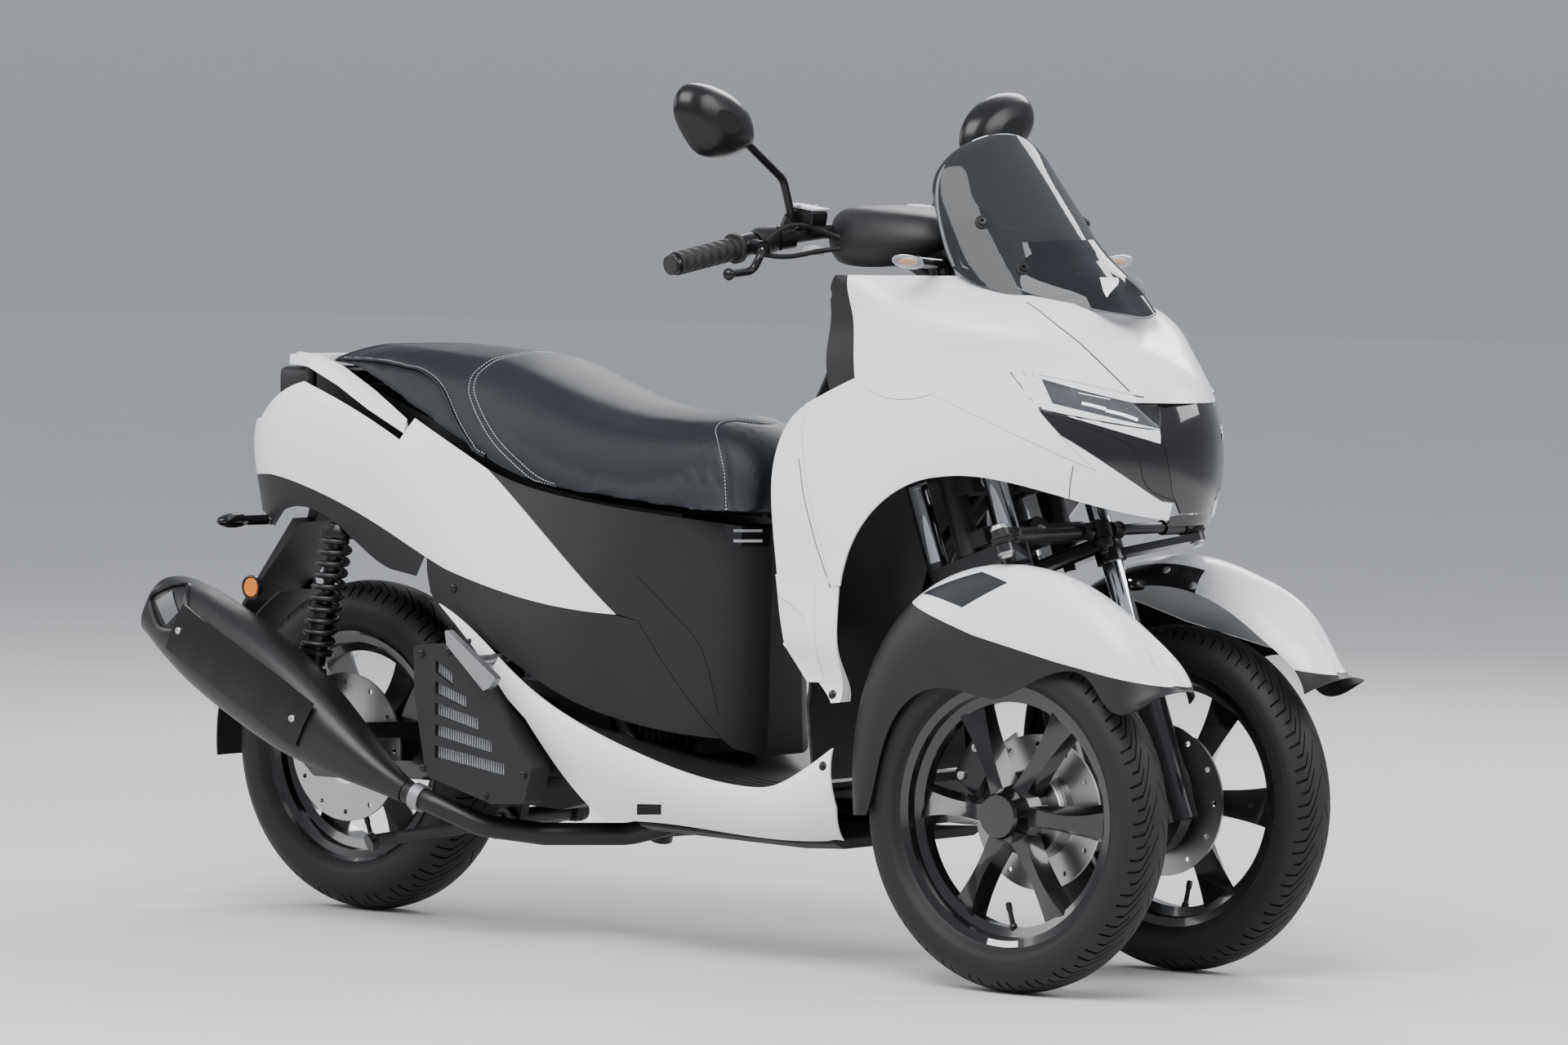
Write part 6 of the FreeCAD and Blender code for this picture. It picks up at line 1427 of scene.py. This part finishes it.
side_bolts("case_bolts", 168, ((-70, 286), (-20, 336), (100, 338), (220, 338), (360, 346), (452, 322),
                               (470, 252), (380, 204), (240, 206), (100, 210), (-30, 212)), SOCKET, 0.0058)
side_bolts("air_box_bolts", 172, ((66, 366), (66, 436), (140, 456), (214, 416), (218, 366)), SOCKET, 0.005)
side_bolts("radiator_cover_bolts", -238, ((318, 424), (372, 430), (322, 252), (448, 218), (524, 254)),
           DOME, 0.006, satin_black)
side_bolts("axle_nuts", -152, ((0, 256),), HEXAGON, 0.011)
side_bolts("rear_caliper_bolts", -102, ((-74, 351), (-42, 351)), SOCKET, 0.006)
case_skin = skin_of("transmission_case")
case_ribs = [tape(side_line(case_skin, points, 400, 30), 0.006, 0.003, 0.0015) for points in (
    ((-40, 262), (80, 268), (200, 272), (330, 276)), ((-30, 300), (80, 312), (200, 314), (330, 318)),
    ((-10, 232), (80, 228), (200, 230), (330, 232)))]
piece("case_ribs", gather(case_ribs), black_alloy)
rings = [spun([(r, 0.001), (r, 0.004), (r - 0.006, 0.004), (r - 0.006, 0.001)], 48, spot(x, 167.5, z), LEFT)
         for x, z, r in ((10, 264, 0.050), (392, 284, 0.056))]
piece("case_rings", gather(rings), black_alloy)
fins = [block(spot(x, low, 272 + (x - 560) * 0.12), spot(x + 3.5, low + 12, 346 + (x - 560) * 0.12), 0.0008)
        for x in range(582, 700, 13) for low in (64, -76)]
piece("barrel_fins", gather(fins), dark_cast)
COOLANT = (((346, -196, 404), (352, -168, 420), (380, -138, 424), (450, -118, 410), (560, -92, 376),
            (640, -74, 352)),
           ((470, -196, 244), (500, -170, 232), (540, -130, 236), (590, -90, 262), (640, -60, 272)))
cane("coolant_hoses", [[spot(*p) for p in path] for path in COOLANT], 0.0105, grip_rubber)
core_fins = []
for index in range(34):
    x = 336 + index * 4.8
    top = 414 if x < 355 else 414 - (x - 355) * 1.05
    core_fins.append(block(spot(x, -229, 236), spot(x + 1.3, -226, top)))
piece("radiator_fins", gather(core_fins), silver_paint)
OIL_CAP = [(0.0, 0.016), (0.011, 0.016), (0.013, 0.012), (0.013, 0.0)]
piece("oil_cap", spun(OIL_CAP, 12, spot(430, -92, 250), -LEFT), dark_plastic)
piece("rear_caliper", block(spot(-86, -102, 330), spot(-30, -74, 372), 0.005), dark_cast)
print("fins:", len(fins), "on the barrel,", len(core_fins), "on the radiator")

# %% [markdown]
# Rubber strips on the floor keep shoes from slipping; each is a low ridge with soft edges.
# The leg shield gets a glove box lid with its lock, a second pocket, a hook and the key switch.

# %% Floor and leg shield
board_skin = skin_of("floor_board")
strips = []
for y in (96, 118, 140, 162, 184, -96, -118, -140, -162, -184):
    line = drape(board_skin, [spot(x, y, 420) for x in (850, 900, 950, 1005)], (0, 0, -1), 24)
    strips.append(tape(line, 0.008, 0.0030, 0.0008))
piece("floor_strips", gather(strips), grip_rubber)
shield_skin = skin_of("inner_leg_shield")
LID = [(58, 700), (52, 716), (60, 840), (76, 848), (176, 846), (190, 832), (192, 716), (180, 702), (58, 700)]


def shield_line(points, count):
    """Line on the leg shield, from (y, z) points seen from behind."""
    return drape(shield_skin, [spot(700, y, z) for y, z in points], (1, 0, 0), count)


def shield_place(y, z):
    """Place on the leg shield, with its normal."""
    return shield_line([(y, z), (y + 1, z)], 2)[0]


for name, sign in (("glove_lid_seam", 1), ("pocket_seam", -1)):
    piece(name, tape(shield_line([(sign * y, z) for y, z in LID], 120), 0.0022, 0.0004), seam_dark)
KNOB = [(0.014, -0.001), (0.014, 0.003), (0.011, 0.005), (0.006, 0.0055), (0.006, 0.003), (0, 0.003)]
piece("glove_lock", spun(KNOB, 28, *shield_place(120, 826)), satin_black)
KEY = [(0.021, -0.002), (0.021, 0.006), (0.017, 0.010), (0.009, 0.0105), (0.0075, 0.008), (0.0, 0.008)]
piece("key_switch", spun(KEY, 36, *shield_place(-96, 896)), satin_black)
place, normal = shield_place(0, 800)
hook = [place + normal * out - UP * down
        for out, down in ((0, 0), (0.030, 0), (0.040, 0.010), (0.036, 0.026), (0.022, 0.028))]
cane("bag_hook", [hook], 0.0048, satin_black)
print("floor strips:", len(strips))

# %% [markdown]
# Small caps and screws close the mouldings at their ends. Each one is set on the surface
# that carries it, on both sides.

# %% Plugs and screws
plugs = []
for name, x, y, z in (("front_side_panels", 1105, 230, 404), ("floor_side_panels", 1082, 222, 300),
                      ("under_tail", -120, 120, 600), ("side_covers", 330, 190, 520),
                      ("floor_side_panels", 380, 200, 440)):
    for sign in (1, -1):
        place, normal, _, _ = skin_of(name).find_nearest(spot(x, sign * y, z))
        plugs.append((place, normal if normal.y * sign > 0 else -normal))
screws("plugs", plugs, DOME, 0.0068, satin_black)
for side_name, sign in SIDES:
    heads = []
    for x, y, z in ((1466, 140, 560), (1330, 140, 548), (1412, 140, 590)):
        place, normal, _, _ = skin_of("fender_upper_" + side_name).find_nearest(spot(x, sign * y, z))
        heads.append((place, normal if normal.z > 0 else -normal))
    screws("fender_screws_" + side_name, heads, DOME, 0.0062, zinc, "knuckle_" + side_name)
